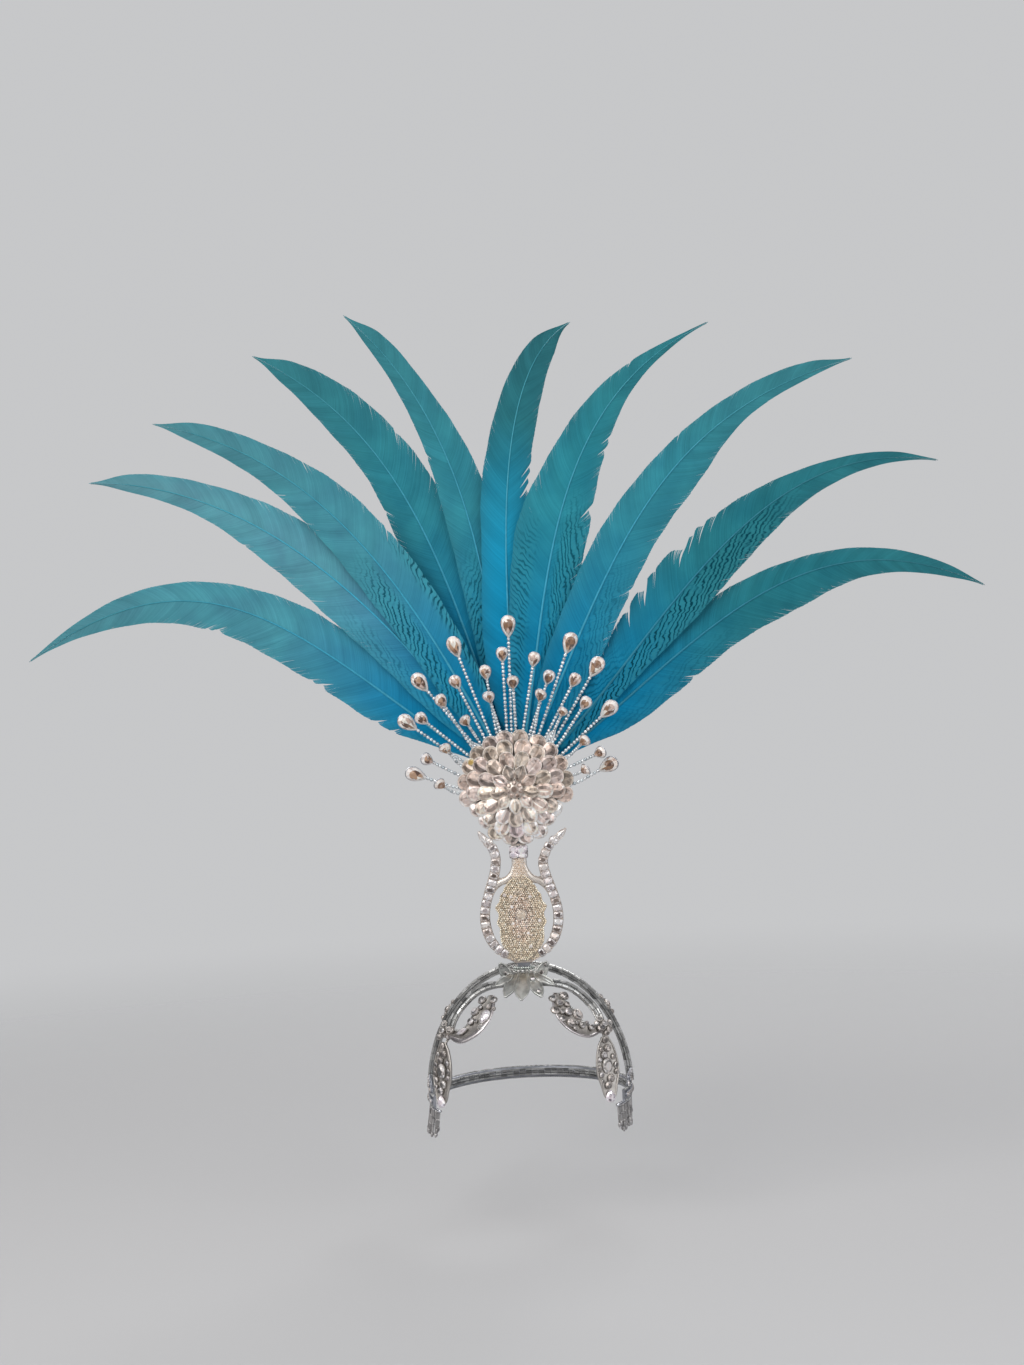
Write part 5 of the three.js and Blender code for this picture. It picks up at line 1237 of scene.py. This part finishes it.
def cluster(piece, rng, spots, slot_stone, slot_cup, palette=None):
    """Stones in cups: rows of (point, outward, along, half length, half width, kind)."""
    for p, out, along, a, b, kind in spots:
        pal = palette if palette is not None else (CLEAR, CLEAR * 0.7 + ROSE * 0.28, CLEAR * 0.6 + LILAC * 0.38)[rng.integers(3)]
        pal = (LILAC if kind in ("lilac", "leaf") else pal) * (0.8 if kind in ("lilac", "leaf") else 0.66)
        temp = NAVETTE if kind == "leaf" else PEAR14 if kind == "lilac" else CHATON10 if max(a, b) > 2.6 else CHATON
        out = unit(np.asarray(out, float))
        ring_of = cut(navette(12), 1.0, table=0.9, mid=0.96, girdle=0.8) if kind == "leaf" else ROUND_CUP
        place(piece, ring_of, p, along, out, (a + 0.5, b + 0.5, 1.0), (0.62, 0.63, 0.68), slot_cup)
        w = ROSE_LOW
        place(piece, temp, p + out * 0.8, along, out, (a, b, 0.5 * min(a, b) + 0.45), shades(rng, temp[2], pal, 1, w) if kind in ("lilac", "leaf") else facet_tints(rng, temp, pal[:3].mean(0), kind == "dark" or rng.random() < 0.34), slot_stone)


def rear_arch():
    rng = np.random.default_rng(51)
    piece = Piece()
    deg = np.linspace(-88, 88, 150)
    a = np.radians(deg)
    k = math.sqrt(1 - (5 / DOME_B) ** 2)
    line = np.stack([DOME_A * k * np.sin(a), np.full(150, 5.0), DOME_Z + DOME_C * k * np.cos(a)], 1)
    nrm = dome_n(line)
    # metal channel, bugle beads in rows over its front, top and back, a seed-bead ridge on top
    tube(piece, on_band(line, nrm, 0, -2.3), 3.4, 8, 1, up=nrm, flat=0.2)
    tube(piece, on_band(line, nrm, 0, 0.4), 3.3, 8, 1, up=np.array([0, -1.0, 0]), flat=0.45)
    for off in (-2.6, 2.6):
        for rise in (-1.9, 0.4):
            beads(piece, on_band(line, nrm, off, rise), 6.4, 1.2, BUGLE, 0.95, bead_grey(rng), 0, False, up=np.array([0, -1.0, 0]), rng=rng)
    for off in (-2.05, 2.05):
        beads(piece, on_band(line, nrm, off, 2.6), 6.4, 1.35, BUGLE, 0.95, bead_grey(rng), 0, False, up=np.array([0, -0.3, 1.0]), rng=rng)
    beads(piece, on_band(line, nrm, 0, 3.2), 2.1, 1.0, SEED, 0.96, bead_grey(rng), 0, True, rng=rng)
    for sgn in (-1, 1):
        spots = []
        for d, off, rise, la, lb in ((50, 0, 2.2, 3.6, 2.4), (45.4, -1.0, 1.7, 2.2, 1.7), (54.6, 1.0, 1.7, 2.2, 1.7), (48.0, 2.4, 1.4, 1.6, 1.4), (52.0, -2.4, 1.4, 1.6, 1.4)):
            t = math.radians(sgn * d)
            p = np.array([DOME_A * k * math.sin(t), 5.0 + off, DOME_Z + DOME_C * k * math.cos(t)])
            n = dome_n(p)
            spots.append((p + n * (rise + 2.2), n + np.array([0, -0.35, 0]), np.array([math.cos(t), 0, -math.sin(t)]), la, lb, ""))
        cluster(piece, rng, spots, 2, 1)
    piece.make("rear_arch_beads", [BEAD, CAP_SILVER, CRYSTAL], "silver_trim", "rear_arch")


rear_arch()


def front_frame():
    rng = np.random.default_rng(53)
    piece = Piece()
    half = np.array([(x, float(dome_y(x, z)), z) for x, z in BROW_ARCH])
    line = catmull(np.vstack([half[1:][::-1] * [-1, 1, 1], half]), 140)
    nrm = dome_n(line)
    tube(piece, on_band(line, nrm, 0, -0.9), 3.6, 8, 1, up=nrm, flat=0.2)
    for off in (-2.3, 2.3):
        beads(piece, on_band(line, nrm, off, 0.3), 6.2, 1.55, BUGLE, 0.95, bead_grey(rng), 0, False, up=np.array([0, -1.0, 0.4]), rng=rng)
    beads(piece, on_band(line, nrm, 0, 1.0), 2.1, 1.1, SEED, 0.96, bead_grey(rng), 0, True, rng=rng)
    # upright face of the arch: a strip set with bugle rows, lower where the palmette lies over it
    fwd = np.array([0.0, -1.0, 0.0])
    rise = unit(np.cross(tangents(line), fwd))
    rise *= np.sign(np.sum(rise * nrm, 1))[:, None]
    rise *= np.interp(np.abs(line[:, 0]), [14, 30], [0.3, 1.0])[:, None]
    tube(piece, line + rise * 0.5, 3.7 * np.linalg.norm(rise, axis=1), 8, 1, up=fwd, flat=0.22)
    for off in (-2.2, 0.4, 3.0):
        beads(piece, line + rise * off + fwd * 1.4, 6.2, 1.35, BUGLE, 0.95, bead_grey(rng), 0, False, up=fwd, rng=rng)
    for sgn in (-1, 1):
        flip = np.array([sgn, 1, 1])
        pts = np.array([(x, float(dome_y(x, z, 1.0)), z) for x, z, _ in SCROLL])
        c = catmull(pts, 40)
        w = through(np.linspace(0, 1, len(SCROLL)), [r[2] for r in SCROLL], np.linspace(0, 1, 40))
        n = dome_n(c)
        s = np.cross(tangents(c), n)
        # hollowed leaf of metal with a smooth rolled edge
        cols = np.linspace(-1, 1, 9)
        shell = c[:, None] + s[:, None] * (cols[None, :, None] * w[:, None, None] / 2) + n[:, None] * (0.5 + 0.9 * cols[None, :, None] ** 2)
        under = c[:, None] + s[:, None] * (cols[None, ::-1, None] * w[:, None, None] / 2) - n[:, None] * 1.1
        tubeful = np.concatenate([shell, under], 1) * flip
        g = grid_faces(40, 18, True)
        piece.add(tubeful.reshape(-1, 3), g if sgn < 0 else g[:, ::-1], 1, soft=True)
        for row, way in ((0, 1), (39, -1)):
            ids = np.arange(18) + row * 18
            fan = np.stack([np.full(16, ids[0]), ids[1:-1], ids[2:]], 1)
            piece.add(tubeful.reshape(-1, 3), fan if way * sgn > 0 else fan[:, ::-1], 1)
        sides = [c + s * w[:, None] / 2 + n * 0.8, c - s * w[:, None] / 2 + n * 0.8]
        low, high = sorted(sides, key=lambda e: e[:, 2].mean())
        wide = LOWER_RIM[sgn]
        taper = np.interp(np.linspace(0, 1, 40), [0, 0.15, 0.5, 0.85, 1], [0.5, 0.85, 1.0, 0.7, 0.3])
        tube(piece, (low + n * 0.3) * flip, wide * taper, 10, 3, up=n * flip, flat=0.45)
        beads(piece, catmull(high[::3] * flip, 80), 2.0, 1.0, tints=bead_grey(rng), slot=0, rng=rng)
        spots = []
        for px, pz, long, across, kind in SCROLL_STONES[sgn]:
            p = np.array([px, float(dome_y(px, pz, 1.0)), pz])
            nn = dome_n(p)
            k = np.argmin(np.hypot(c[:, 0] - px, c[:, 2] - pz))
            spots.append(((p + nn * 1.5) * flip, unit(nn * flip + rng.normal(0, 0.09, 3)), tangents(c)[k] * flip, long / 2 - 0.5, across / 2 - 0.5, kind))
        # knot of stones where arch and scroll meet at the temple
        for px, pz, across in KNOT_STONES[sgn]:
            off = np.array([px - 71, pz + 49])
            nn = unit(np.array([0.25 + off[0] * 0.07, -1.0, 0.2 + off[1] * 0.06]))
            p = np.array([px, -42.6 + 0.03 * (off @ off), pz])
            spots.append((p * flip, nn * flip, np.array([0.3, 0, 1.0]) * flip, across / 2 - 0.4, across / 2 - 0.4, ""))
        cluster(piece, rng, spots, 2, 1)
        knob = np.array([70, -37.6, -50.0]) * flip
        a, b = np.meshgrid(np.linspace(0, 2 * np.pi, 16, endpoint=False), np.linspace(0.12, np.pi - 0.12, 9))
        ball = knob + np.stack([6.3 * np.sin(b) * np.cos(a), 4.6 * np.sin(b) * np.sin(a), 6.3 * np.cos(b)], -1).reshape(-1, 3)
        g = grid_faces(9, 16, True)
        caps = np.vstack([np.stack([np.full(14, r), r + np.arange(1, 15), r + np.arange(2, 16)], 1)[:, ::1 if r else -1] for r in (0, 128)])
        piece.add(ball, g[:, ::-1], 1, soft=True)
        piece.add(ball, caps[:, ::-1], 1)
    piece.make("front_frame_beads", [BEAD, CAP_SILVER, CRYSTAL, LILAC_SILVER], "silver_trim", "front_frame")


front_frame()


def leaf(piece, rng, c, normal, wide, slot, stone_slot, stones=3, vein=0.35):
    """Pointed leaf along a line: raised rolled edge, midrib, hollow between, stones down the middle."""
    n = len(c)
    s = np.cross(tangents(c), normal)
    cols = np.linspace(-1, 1, 9)
    hollow = 0.55 * np.abs(cols) ** 1.5 + vein * np.exp(-((cols / 0.18) ** 2))
    top = c[:, None] + s[:, None] * (cols[None, :, None] * wide[:, None, None] / 2) + normal[:, None] * (hollow[None, :, None] + 0.6)
    low = c[:, None] + s[:, None] * (cols[None, ::-1, None] * wide[:, None, None] / 2) - normal[:, None] * 0.7
    skin = np.concatenate([top, low], 1).reshape(-1, 3)
    g = grid_faces(n, 18, True)
    # outward check on the top surface
    q = skin[g[4]]
    if np.dot(np.cross(q[1] - q[0], q[2] - q[0]), normal[0]) < 0:
        g = g[:, ::-1]
        ends = -1
    else:
        ends = 1
    piece.add(skin, g, slot, soft=True)
    for row, way in ((0, 1), (n - 1, -1)):
        ids = np.arange(18) + row * 18
        fan = np.stack([np.full(16, ids[0]), ids[1:-1], ids[2:]], 1)
        piece.add(skin, fan[:, ::-1] if way * ends > 0 else fan, slot)
    edge = np.vstack([c + s * wide[:, None] / 2, (c - s * wide[:, None] / 2)[::-1]]) + np.vstack([normal, normal[::-1]]) * 0.9
    tube(piece, edge, 0.75, 6, slot, closed=True)
    spots = []
    for k in np.linspace(0.24, 0.78, stones):
        i = int(k * (n - 1))
        spots.append((c[i] + normal[i] * 1.0, normal[i], tangents(c)[i], 0.27 * wide[i], 0.22 * wide[i], ""))
    cluster(piece, rng, spots, stone_slot, slot)


def palmette():
    rng = np.random.default_rng(57)
    piece = Piece()
    ys = np.array([r[0] for r in CROWN], float)
    hw = np.array([r[1] for r in CROWN], float)
    yy = np.linspace(ys[0], ys[-1], 22)
    w = through(ys, hw, yy)
    cols = np.linspace(-1, 1, 15)
    x = cols[None] * w[:, None]
    y = np.broadcast_to(yy[:, None], x.shape)
    top = np.stack([x, y, dome_z(x, y, 1.6)], -1)
    low = np.stack([x[:, ::-1], y, dome_z(x[:, ::-1], y, -1.8)], -1)
    skin = np.concatenate([top, low], 1).reshape(-1, 3)
    g = grid_faces(22, 30, True)
    q = skin[g[7]]
    if np.cross(q[1] - q[0], q[2] - q[0])[2] < 0:
        g = g[:, ::-1]
    piece.add(skin, g, 0, soft=True)
    for row in (0, 21):
        ids = np.arange(30) + row * 30
        fan = np.stack([np.full(28, ids[0]), ids[1:-1], ids[2:]], 1)
        nrm = np.cross(skin[fan[10, 1]] - skin[fan[10, 0]], skin[fan[10, 2]] - skin[fan[10, 0]])
        if nrm[1] * (1 if row else -1) < 0:
            fan = fan[:, ::-1]
        piece.add(skin, fan, 0)
    rim = np.vstack([top[:, -1], top[::-1, 0]])
    beads(piece, np.vstack([catmull(rim, 90, True), rim[:1]]), 2.2, 1.15, tints=bead_pale(rng), slot=2, rng=rng)
    # close-set stones over the plate
    spots = []
    for r, py in enumerate(np.arange(-32.6, -1, 3.5)):
        ww = float(through(ys, hw, py)) - 2.6
        for px in np.arange(-ww + (r % 2) * 1.9, ww + 0.01, 3.8):
            if abs(px) < 8.5 and -23 < py < -12:
                continue
            p = np.array([px, py, float(dome_z(px, py, 1.6))])
            spots.append((p, dome_n(p), np.array([1.0, 0, 0]), 1.5, 1.5, ""))
    cluster(piece, rng, spots, 1, 0, np.clip(CLEAR * np.array([1.2, 1.26, 1.2]), 0, 1))
    shape_s = np.linspace(0, 1, 18)
    for x0, x1, z1, wide in PETALS:
        z0 = float(dome_z(x0, -22.0))
        px, pz = x0 + (x1 - x0) * shape_s, z0 + (z1 - z0) * shape_s
        lift = 2.4 + 3.0 * np.minimum(1, 5 * shape_s)
        c = np.stack([px, [float(dome_y(a, b, g_)) for a, b, g_ in zip(px, pz, lift)], pz], 1)
        ww = wide * through([0, 0.2, 0.4, 0.6, 0.8, 1], [0.36, 0.8, 1.0, 0.95, 0.7, 0.16], shape_s)
        leaf(piece, rng, c, dome_n(c), ww, 0, 1, 2 if x0 == 6 else 0, 0.6)
    for sgn in (-1, 1):
        tilt = math.radians(28)
        way = np.array([sgn * math.sin(tilt), 0, math.cos(tilt)])
        c = np.array([15 * sgn, -27, -2.2]) + np.linspace(0, 14, 14)[:, None] * way
        ww = 9 * through([0, 0.3, 0.6, 0.85, 1], [0.9, 1, 0.85, 0.5, 0.1], np.linspace(0, 1, 14))
        leaf(piece, rng, c, np.broadcast_to(np.array([0, -1.0, 0]), c.shape), ww, 0, 1, 2)
    # socket that grips the lyre foot
    t = np.linspace(0, 2 * np.pi, 40, endpoint=False)
    for z, rx, ry in ((4.6, 9.2, 4.2), (2.4, 10.4, 5.0)):
        beads(piece, np.vstack([np.stack([rx * np.cos(t), -18.6 + ry * np.sin(t), np.full(40, z)], 1)] + [[[rx, -18.6, z]]]), 2.0, 1.15, tints=bead_pale(rng), slot=2, rng=rng)
    piece.make("crown_palmette_leaves", [LEAF_SILVER, CRYSTAL, BEAD], "silver_trim", "crown_palmette")


palmette()


def temple(sgn, name):
    rng = np.random.default_rng(61 + (sgn > 0))
    piece = Piece()
    apart = 3.5 if sgn < 0 else 0.0
    top, end = np.array([(71.5 + apart) * sgn, -45.5, -58.3]), np.array([(74.5 + apart) * sgn, -53.0, -114.0])
    turn = math.radians(40 if sgn < 0 else 28)
    face = np.array([sgn * math.sin(turn), -math.cos(turn), 0.0])
    c = top + (end - top) * np.linspace(0, 1, 30)[:, None]
    w = through([r[0] for r in TEMPLE], [r[1] for r in TEMPLE], np.linspace(0, 1, 30))
    normal = np.broadcast_to(face, c.shape)
    s = np.cross(tangents(c), normal)
    cols = np.linspace(-1, 1, 9)
    topp = c[:, None] + s[:, None] * (cols[None, :, None] * w[:, None, None] / 2) + normal[:, None] * (0.5 + 0.8 * cols[None, :, None] ** 2)
    low = c[:, None] + s[:, None] * (cols[None, ::-1, None] * w[:, None, None] / 2) - normal[:, None] * 0.9
    skin = np.concatenate([topp, low], 1).reshape(-1, 3)
    g = grid_faces(30, 18, True)
    q = skin[g[4]]
    g = g[:, ::-1] if np.dot(np.cross(q[1] - q[0], q[2] - q[0]), face) < 0 else g
    piece.add(skin, g, 1, soft=True)
    for row in (0, 29):
        ids = np.arange(18) + row * 18
        fan = np.stack([np.full(16, ids[0]), ids[1:-1], ids[2:]], 1)
        nrm = np.cross(skin[fan[6, 1]] - skin[fan[6, 0]], skin[fan[6, 2]] - skin[fan[6, 0]])
        piece.add(skin, fan if nrm[2] * (-1 if row else 1) > 0 else fan[:, ::-1], 1)
    edge = np.vstack([c + s * w[:, None] / 2, (c - s * w[:, None] / 2)[::-1]]) + face * 0.9
    tube(piece, edge, 0.95, 8, 1, closed=True)
    # short wire that hangs the leaf from the temple junction
    hook, seat = np.array([70.6 * sgn, -42.2, -54.8]), c[1] - face * 0.2
    tube(piece, np.array([seat, (seat + hook) / 2 - face * 0.4, hook]), 1.1, 8, 1)
    way = unit(end - top)
    spots = []
    for k, off, la, lb in ((0.06, 0, 3.0, 2.6), (0.18, -0.25, 3.4, 3.1), (0.29, 0.35, 3.3, 3.0), (0.47, 0.05, 7.2, 4.8), (0.66, -0.3, 3.6, 3.3), (0.78, 0.2, 3.3, 3.1),
                           (0.33, -0.85, 2.5, 2.1), (0.37, 0.95, 2.3, 1.9), (0.46, -0.98, 2.7, 1.9), (0.5, 0.98, 2.7, 1.9), (0.58, -0.98, 2.3, 1.9), (0.62, 0.85, 2.6, 2.2), (0.2, 0.9, 2.1, 1.8), (0.71, 0.98, 1.8, 1.6)):
        i = int(k * 29)
        p = c[i] + s[i] * off * (w[i] / 2 - 2.2) + face * 1.1
        spots.append((p, face, way, la, lb, ""))
    cluster(piece, rng, spots, 0, 1)
    p = c[27] + face * 1.4
    place(piece, PEAR14, p, way, face, (5.8, 4.9, 3.2), shades(rng, PEAR14[2], LILAC, 1, ROSE_SHADES), 0)
    piece.make(name + "_stones", [CRYSTAL, CAP_SILVER], "crystal", name)


temple(-1, "temple_leaf_left")
temple(1, "temple_leaf_right")


def lower_band():
    rng = np.random.default_rng(67)
    piece = Piece()
    deg = np.linspace(-110.6, 110.6, 120)
    rows = [around(deg, z, g) for z, g in ((-108.2, -1.4), (-108.2, 1.0), (-113.2, 1.35), (-118.4, 1.0), (-118.4, -1.4))]
    skin = np.stack(rows, 1)
    g = grid_faces(120, 5, True)
    q = skin.reshape(-1, 3)[g[1]]
    mid = skin[0].mean(0)
    g = g[:, ::-1] if np.dot(np.cross(q[1] - q[0], q[2] - q[0]), dome_n(np.array([mid[0], mid[1], DOME_Z]))) < 0 else g
    piece.add(skin.reshape(-1, 3), g, 1, soft=True)
    for row in (0, 119):
        ids = np.arange(5) + row * 5
        piece.add(skin.reshape(-1, 3), np.stack([np.full(3, ids[0]), ids[1:-1], ids[2:]], 1)[:, ::(1 if row else -1)], 1)
    for z in (-108.2, -118.3):
        beads(piece, around(np.linspace(-110.6, 110.6, 200), z, 0.6), 2.3, 1.2, tints=bead_grey(rng), slot=0, rng=rng)
    for z in (-110.8, -113.2, -115.6):
        beads(piece, around(np.linspace(-108, 108, 200), z, -1.7), 6.2, 1.15, BUGLE, 0.95, bead_grey(rng), 0, False, rng=rng)
        beads(piece, around(np.linspace(-56, 56, 120), z, 1.5), 6.2, 1.15, BUGLE, 0.95, bead_grey(rng), 0, False, rng=rng)
    spots = []
    for sgn in (-1, 1):
        for d in np.arange(58, 110, 3.1):
            p = around(np.array(sgn * d), -113.2, 1.3)
            n = dome_n(np.array([p[0], p[1], DOME_Z]))
            spots.append((p, n, np.array([0, 0, 1.0]), 2.1, 2.1, ""))
        # side clusters of larger stones
        for d, z, la, lb in ((92, -103.4, 3.4, 2.8), (98, -101.0, 2.6, 2.2), (86.5, -101.6, 2.4, 2.1), (104, -104.6, 2.8, 2.4), (95, -96.6, 2.2, 1.9), (89.6, -96.4, 1.9, 1.8), (100.6, -96.8, 1.8, 1.7)):
            p = around(np.array(sgn * d), z, 0.6)
            n = dome_n(np.array([p[0], p[1], DOME_Z]))
            spots.append((p, n, np.array([0, 0, 1.0]), la, lb, ""))
            # a stem soldered to the top edge of the band
            foot = around(np.array(sgn * (95.0 + 0.72 * (d - 95.0))), -109.4, -0.2)
            seat = p - n * 0.3
            tube(piece, np.array([foot, (foot + seat) / 2 - n * 0.2, seat]), 1.15, 8, 1)
    cluster(piece, rng, spots, 2, 1)
    piece.make("lower_band_beads", [BEAD, DULL, CRYSTAL], "silver_trim", "lower_band")


lower_band()


def fringe(sgn, name):
    rng = np.random.default_rng(71 + (sgn > 0))
    piece = Piece()
    n = 30
    s = (np.arange(n) + 0.5) / n
    deg = 119 + (81 - 119) * s
    full = np.interp(s, np.linspace(0, 1, len(FRINGE_LEN)), FRINGE_LEN) + rng.uniform(-3.0, 0.5, n)

    def grey(k):
        pal = np.array([(0.40, 0.385, 0.38), (0.30, 0.29, 0.285), (0.52, 0.50, 0.49), (0.19, 0.18, 0.178)])
        return pal[rng.choice(4, k, p=(0.35, 0.3, 0.2, 0.15))]

    # cord along the foot of the band that the strands are sewn to
    tube(piece, around(sgn * np.linspace(119.6, 80.4, 40), -119.3, 0.0), 1.5, 8, 1)
    for j in range(n):
        top = around(np.array(sgn * deg[j]), -119.6, rng.uniform(-1.3, 1.3))
        sway = rng.normal(0, 0.035, 2) - np.array([0.12 if sgn < 0 else 0.0, 0.0])
        down = unit(np.array([sway[0], sway[1], -1.0]))
        z = 0.0
        tube(piece, np.array([top, top + down * full[j] * 0.5, top + down * (full[j] - 0.6)]), 0.22, 5, 1)
        while z < full[j] - 7.4:
            for kind, ln, r in (("seed", 1.8, 1.05), ("bugle", 5.2, 0.92)):
                if z + ln > full[j] - 2.2:
                    break
                temp = SEED if kind == "seed" else BUGLE
                place(piece, temp, top + down * (z + ln / 2), down, (0.1, -1, 0), (ln * 0.95, r, r), grey(1), 0, kind == "seed")
                z += ln
        left = full[j] - z
        place(piece, SEED, top + down * (z + min(left, 4.6) / 2), down, (0.1, -1, 0), (min(left, 4.6), 1.35, 1.35), grey(1), 0, True)
    piece.make(name + "_strands", [BEAD, SILVER], "crystal", name)


fringe(-1, "fringe_left")
fringe(1, "fringe_right")

# --------------------------------------------------- pieces kept from the frame
for name, m in (("rosette_base", BEIGE_FELT), ("feather_hub", FELT), ("back_post", DULL)):
    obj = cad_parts[name]
    obj.data.materials.clear()
    obj.data.materials.append(m)

# ----------------------------------------------------------- floor, light, view
FLOOR_Z = -0.23
circle = np.linspace(0, 2 * np.pi, 96, endpoint=False)
floor_mesh = bpy.data.meshes.new("floor")
floor_mesh.from_pydata([(3.2 * math.cos(t), 3.2 * math.sin(t), FLOOR_Z) for t in circle], [], [list(range(96))])
floor = bpy.data.objects.new("floor", floor_mesh)
bpy.context.scene.collection.objects.link(floor)
m, t, b = material("pale_floor")
b.inputs["Base Color"].default_value = (0.56, 0.56, 0.57, 1)
b.inputs["Roughness"].default_value = 0.8
radial = t.nodes.new("ShaderNodeVectorMath")
radial.operation = "LENGTH"
t.links.new(object_coords(t), radial.inputs[0])
fade = t.nodes.new("ShaderNodeMapRange")
fade.interpolation_type = "SMOOTHSTEP"
for key, value in (("From Min", 0.5), ("From Max", 2.4), ("To Min", 1.0), ("To Max", 0.0)):
    fade.inputs[key].default_value = value
t.links.new(radial.outputs["Value"], fade.inputs["Value"])
t.links.new(fade.outputs["Result"], b.inputs["Alpha"])
floor_mesh.materials.append(m)

world = bpy.data.worlds.new("studio")
bpy.context.scene.world = world
world.use_nodes = True
t = world.node_tree
t.nodes.clear()
out = t.nodes.new("ShaderNodeOutputWorld")
seen, lit, spark = (t.nodes.new("ShaderNodeBackground") for _ in range(3))
seen.inputs["Color"].default_value = (0.57, 0.575, 0.585, 1)
lit.inputs["Strength"].default_value = 0.40
gen = t.nodes.new("ShaderNodeTexCoord").outputs["Generated"]
sep = t.nodes.new("ShaderNodeSeparateXYZ")
t.links.new(gen, sep.inputs[0])
height = math_node(t, "MULTIPLY_ADD", sep.outputs["Z"], 0.5, 0.5)
t.links.new(ramp(t, height, (0.0, (0.30, 0.30, 0.31)), (0.5, (0.55, 0.55, 0.57)), (0.8, (0.95, 0.95, 0.97)), (1.0, (1.1, 1.1, 1.1))), lit.inputs["Color"])
# what polished metal and stones mirror: a dim room with a few bright panels
room = ramp(t, height, (0.0, (0.20, 0.20, 0.21)), (0.48, (0.09, 0.09, 0.10)), (0.62, (0.16, 0.16, 0.17)), (0.85, (0.42, 0.42, 0.43)), (1.0, (0.60, 0.60, 0.60)))
for way, wide in (((-0.62, -0.62, 0.48), 13), ((0.70, -0.60, 0.38), 12), ((0.08, -0.93, 0.36), 9), ((-0.15, -0.55, 0.82), 15), ((0.5, -0.3, 0.8), 11), ((-0.95, -0.2, 0.25), 12), ((0.95, -0.1, 0.3), 12), ((0.25, -0.95, -0.18), 7), ((-0.35, -0.92, 0.12), 6), ((0.3, 0.8, 0.5), 14), ((-0.4, 0.75, 0.5), 12)):
    dot = t.nodes.new("ShaderNodeVectorMath")
    dot.operation = "DOT_PRODUCT"
    t.links.new(gen, dot.inputs[0])
    dot.inputs[1].default_value = unit(way)
    panel = t.nodes.new("ShaderNodeMapRange")
    panel.interpolation_type = "SMOOTHSTEP"
    for key, value in (("From Min", math.cos(math.radians(wide * 1.25))), ("From Max", math.cos(math.radians(wide * 0.85))), ("To Min", 0.0), ("To Max", 1.0)):
        panel.inputs[key].default_value = value
    t.links.new(dot.outputs["Value"], panel.inputs["Value"])
    room = mix(t, panel.outputs["Result"], room, (1.6, 1.57, 1.53))
t.links.new(room, spark.inputs["Color"])
path = t.nodes.new("ShaderNodeLightPath")
mirror, both = t.nodes.new("ShaderNodeMixShader"), t.nodes.new("ShaderNodeMixShader")
t.links.new(path.outputs["Is Glossy Ray"], mirror.inputs["Fac"])
t.links.new(lit.outputs[0], mirror.inputs[1])
t.links.new(spark.outputs[0], mirror.inputs[2])
t.links.new(path.outputs["Is Camera Ray"], both.inputs["Fac"])
t.links.new(mirror.outputs[0], both.inputs[1])
t.links.new(seen.outputs[0], both.inputs[2])
t.links.new(both.outputs[0], out.inputs["Surface"])


def lamp(name, at, aim, size, power, colour=(1, 1, 1)):
    data = bpy.data.lights.new(name, "AREA")
    data.shape = "RECTANGLE"
    data.size, data.size_y = size
    data.energy = power
    data.color = colour
    obj = bpy.data.objects.new(name, data)
    bpy.context.scene.collection.objects.link(obj)
    obj.location = at
    obj.rotation_euler = (Vector(aim) - Vector(at)).to_track_quat("-Z", "Y").to_euler()


lamp("key", (-1.5, -2.0, 1.7), (0, 0, 0.25), (2.7, 2.7), 54, (1.0, 0.98, 0.95))
lamp("fill", (1.9, -1.7, 0.8), (0, 0, 0.2), (1.6, 2.0), 15, (0.96, 0.98, 1.0))
lamp("back", (0.6, 1.6, 1.7), (0, 0, 0.3), (1.4, 1.0), 16)
lamp("glint_left", (-0.55, -1.7, 0.75), (0, 0, 0.1), (0.3, 0.3), 2.4)
lamp("glint_right", (0.75, -1.6, 0.55), (0, 0, 0.1), (0.28, 0.28), 2.0)

yaw, roll = math.radians(3.0), math.radians(2.6)
ahead = Vector((-math.sin(yaw), math.cos(yaw), 0))
across = Vector((math.cos(yaw), math.sin(yaw), 0))
up = Vector((0, 0, 1))
right = math.cos(roll) * across - math.sin(roll) * up
above = math.sin(roll) * across + math.cos(roll) * up
cam_data = bpy.data.cameras.new("camera")
cam_data.lens, cam_data.sensor_width, cam_data.sensor_fit = 57.334, 36.0, "AUTO"
cam_data.clip_start, cam_data.clip_end = 0.05, 60
camera = bpy.data.objects.new("camera", cam_data)
bpy.context.scene.collection.objects.link(camera)
rows = Matrix((right, above, -ahead)).transposed().to_4x4()
rows.translation = (0.105765, -2.021202, 0.267486)
camera.matrix_world = rows
bpy.context.scene.camera = camera
bpy.context.scene.view_settings.view_transform = "Standard"

bpy.context.view_layer.update()
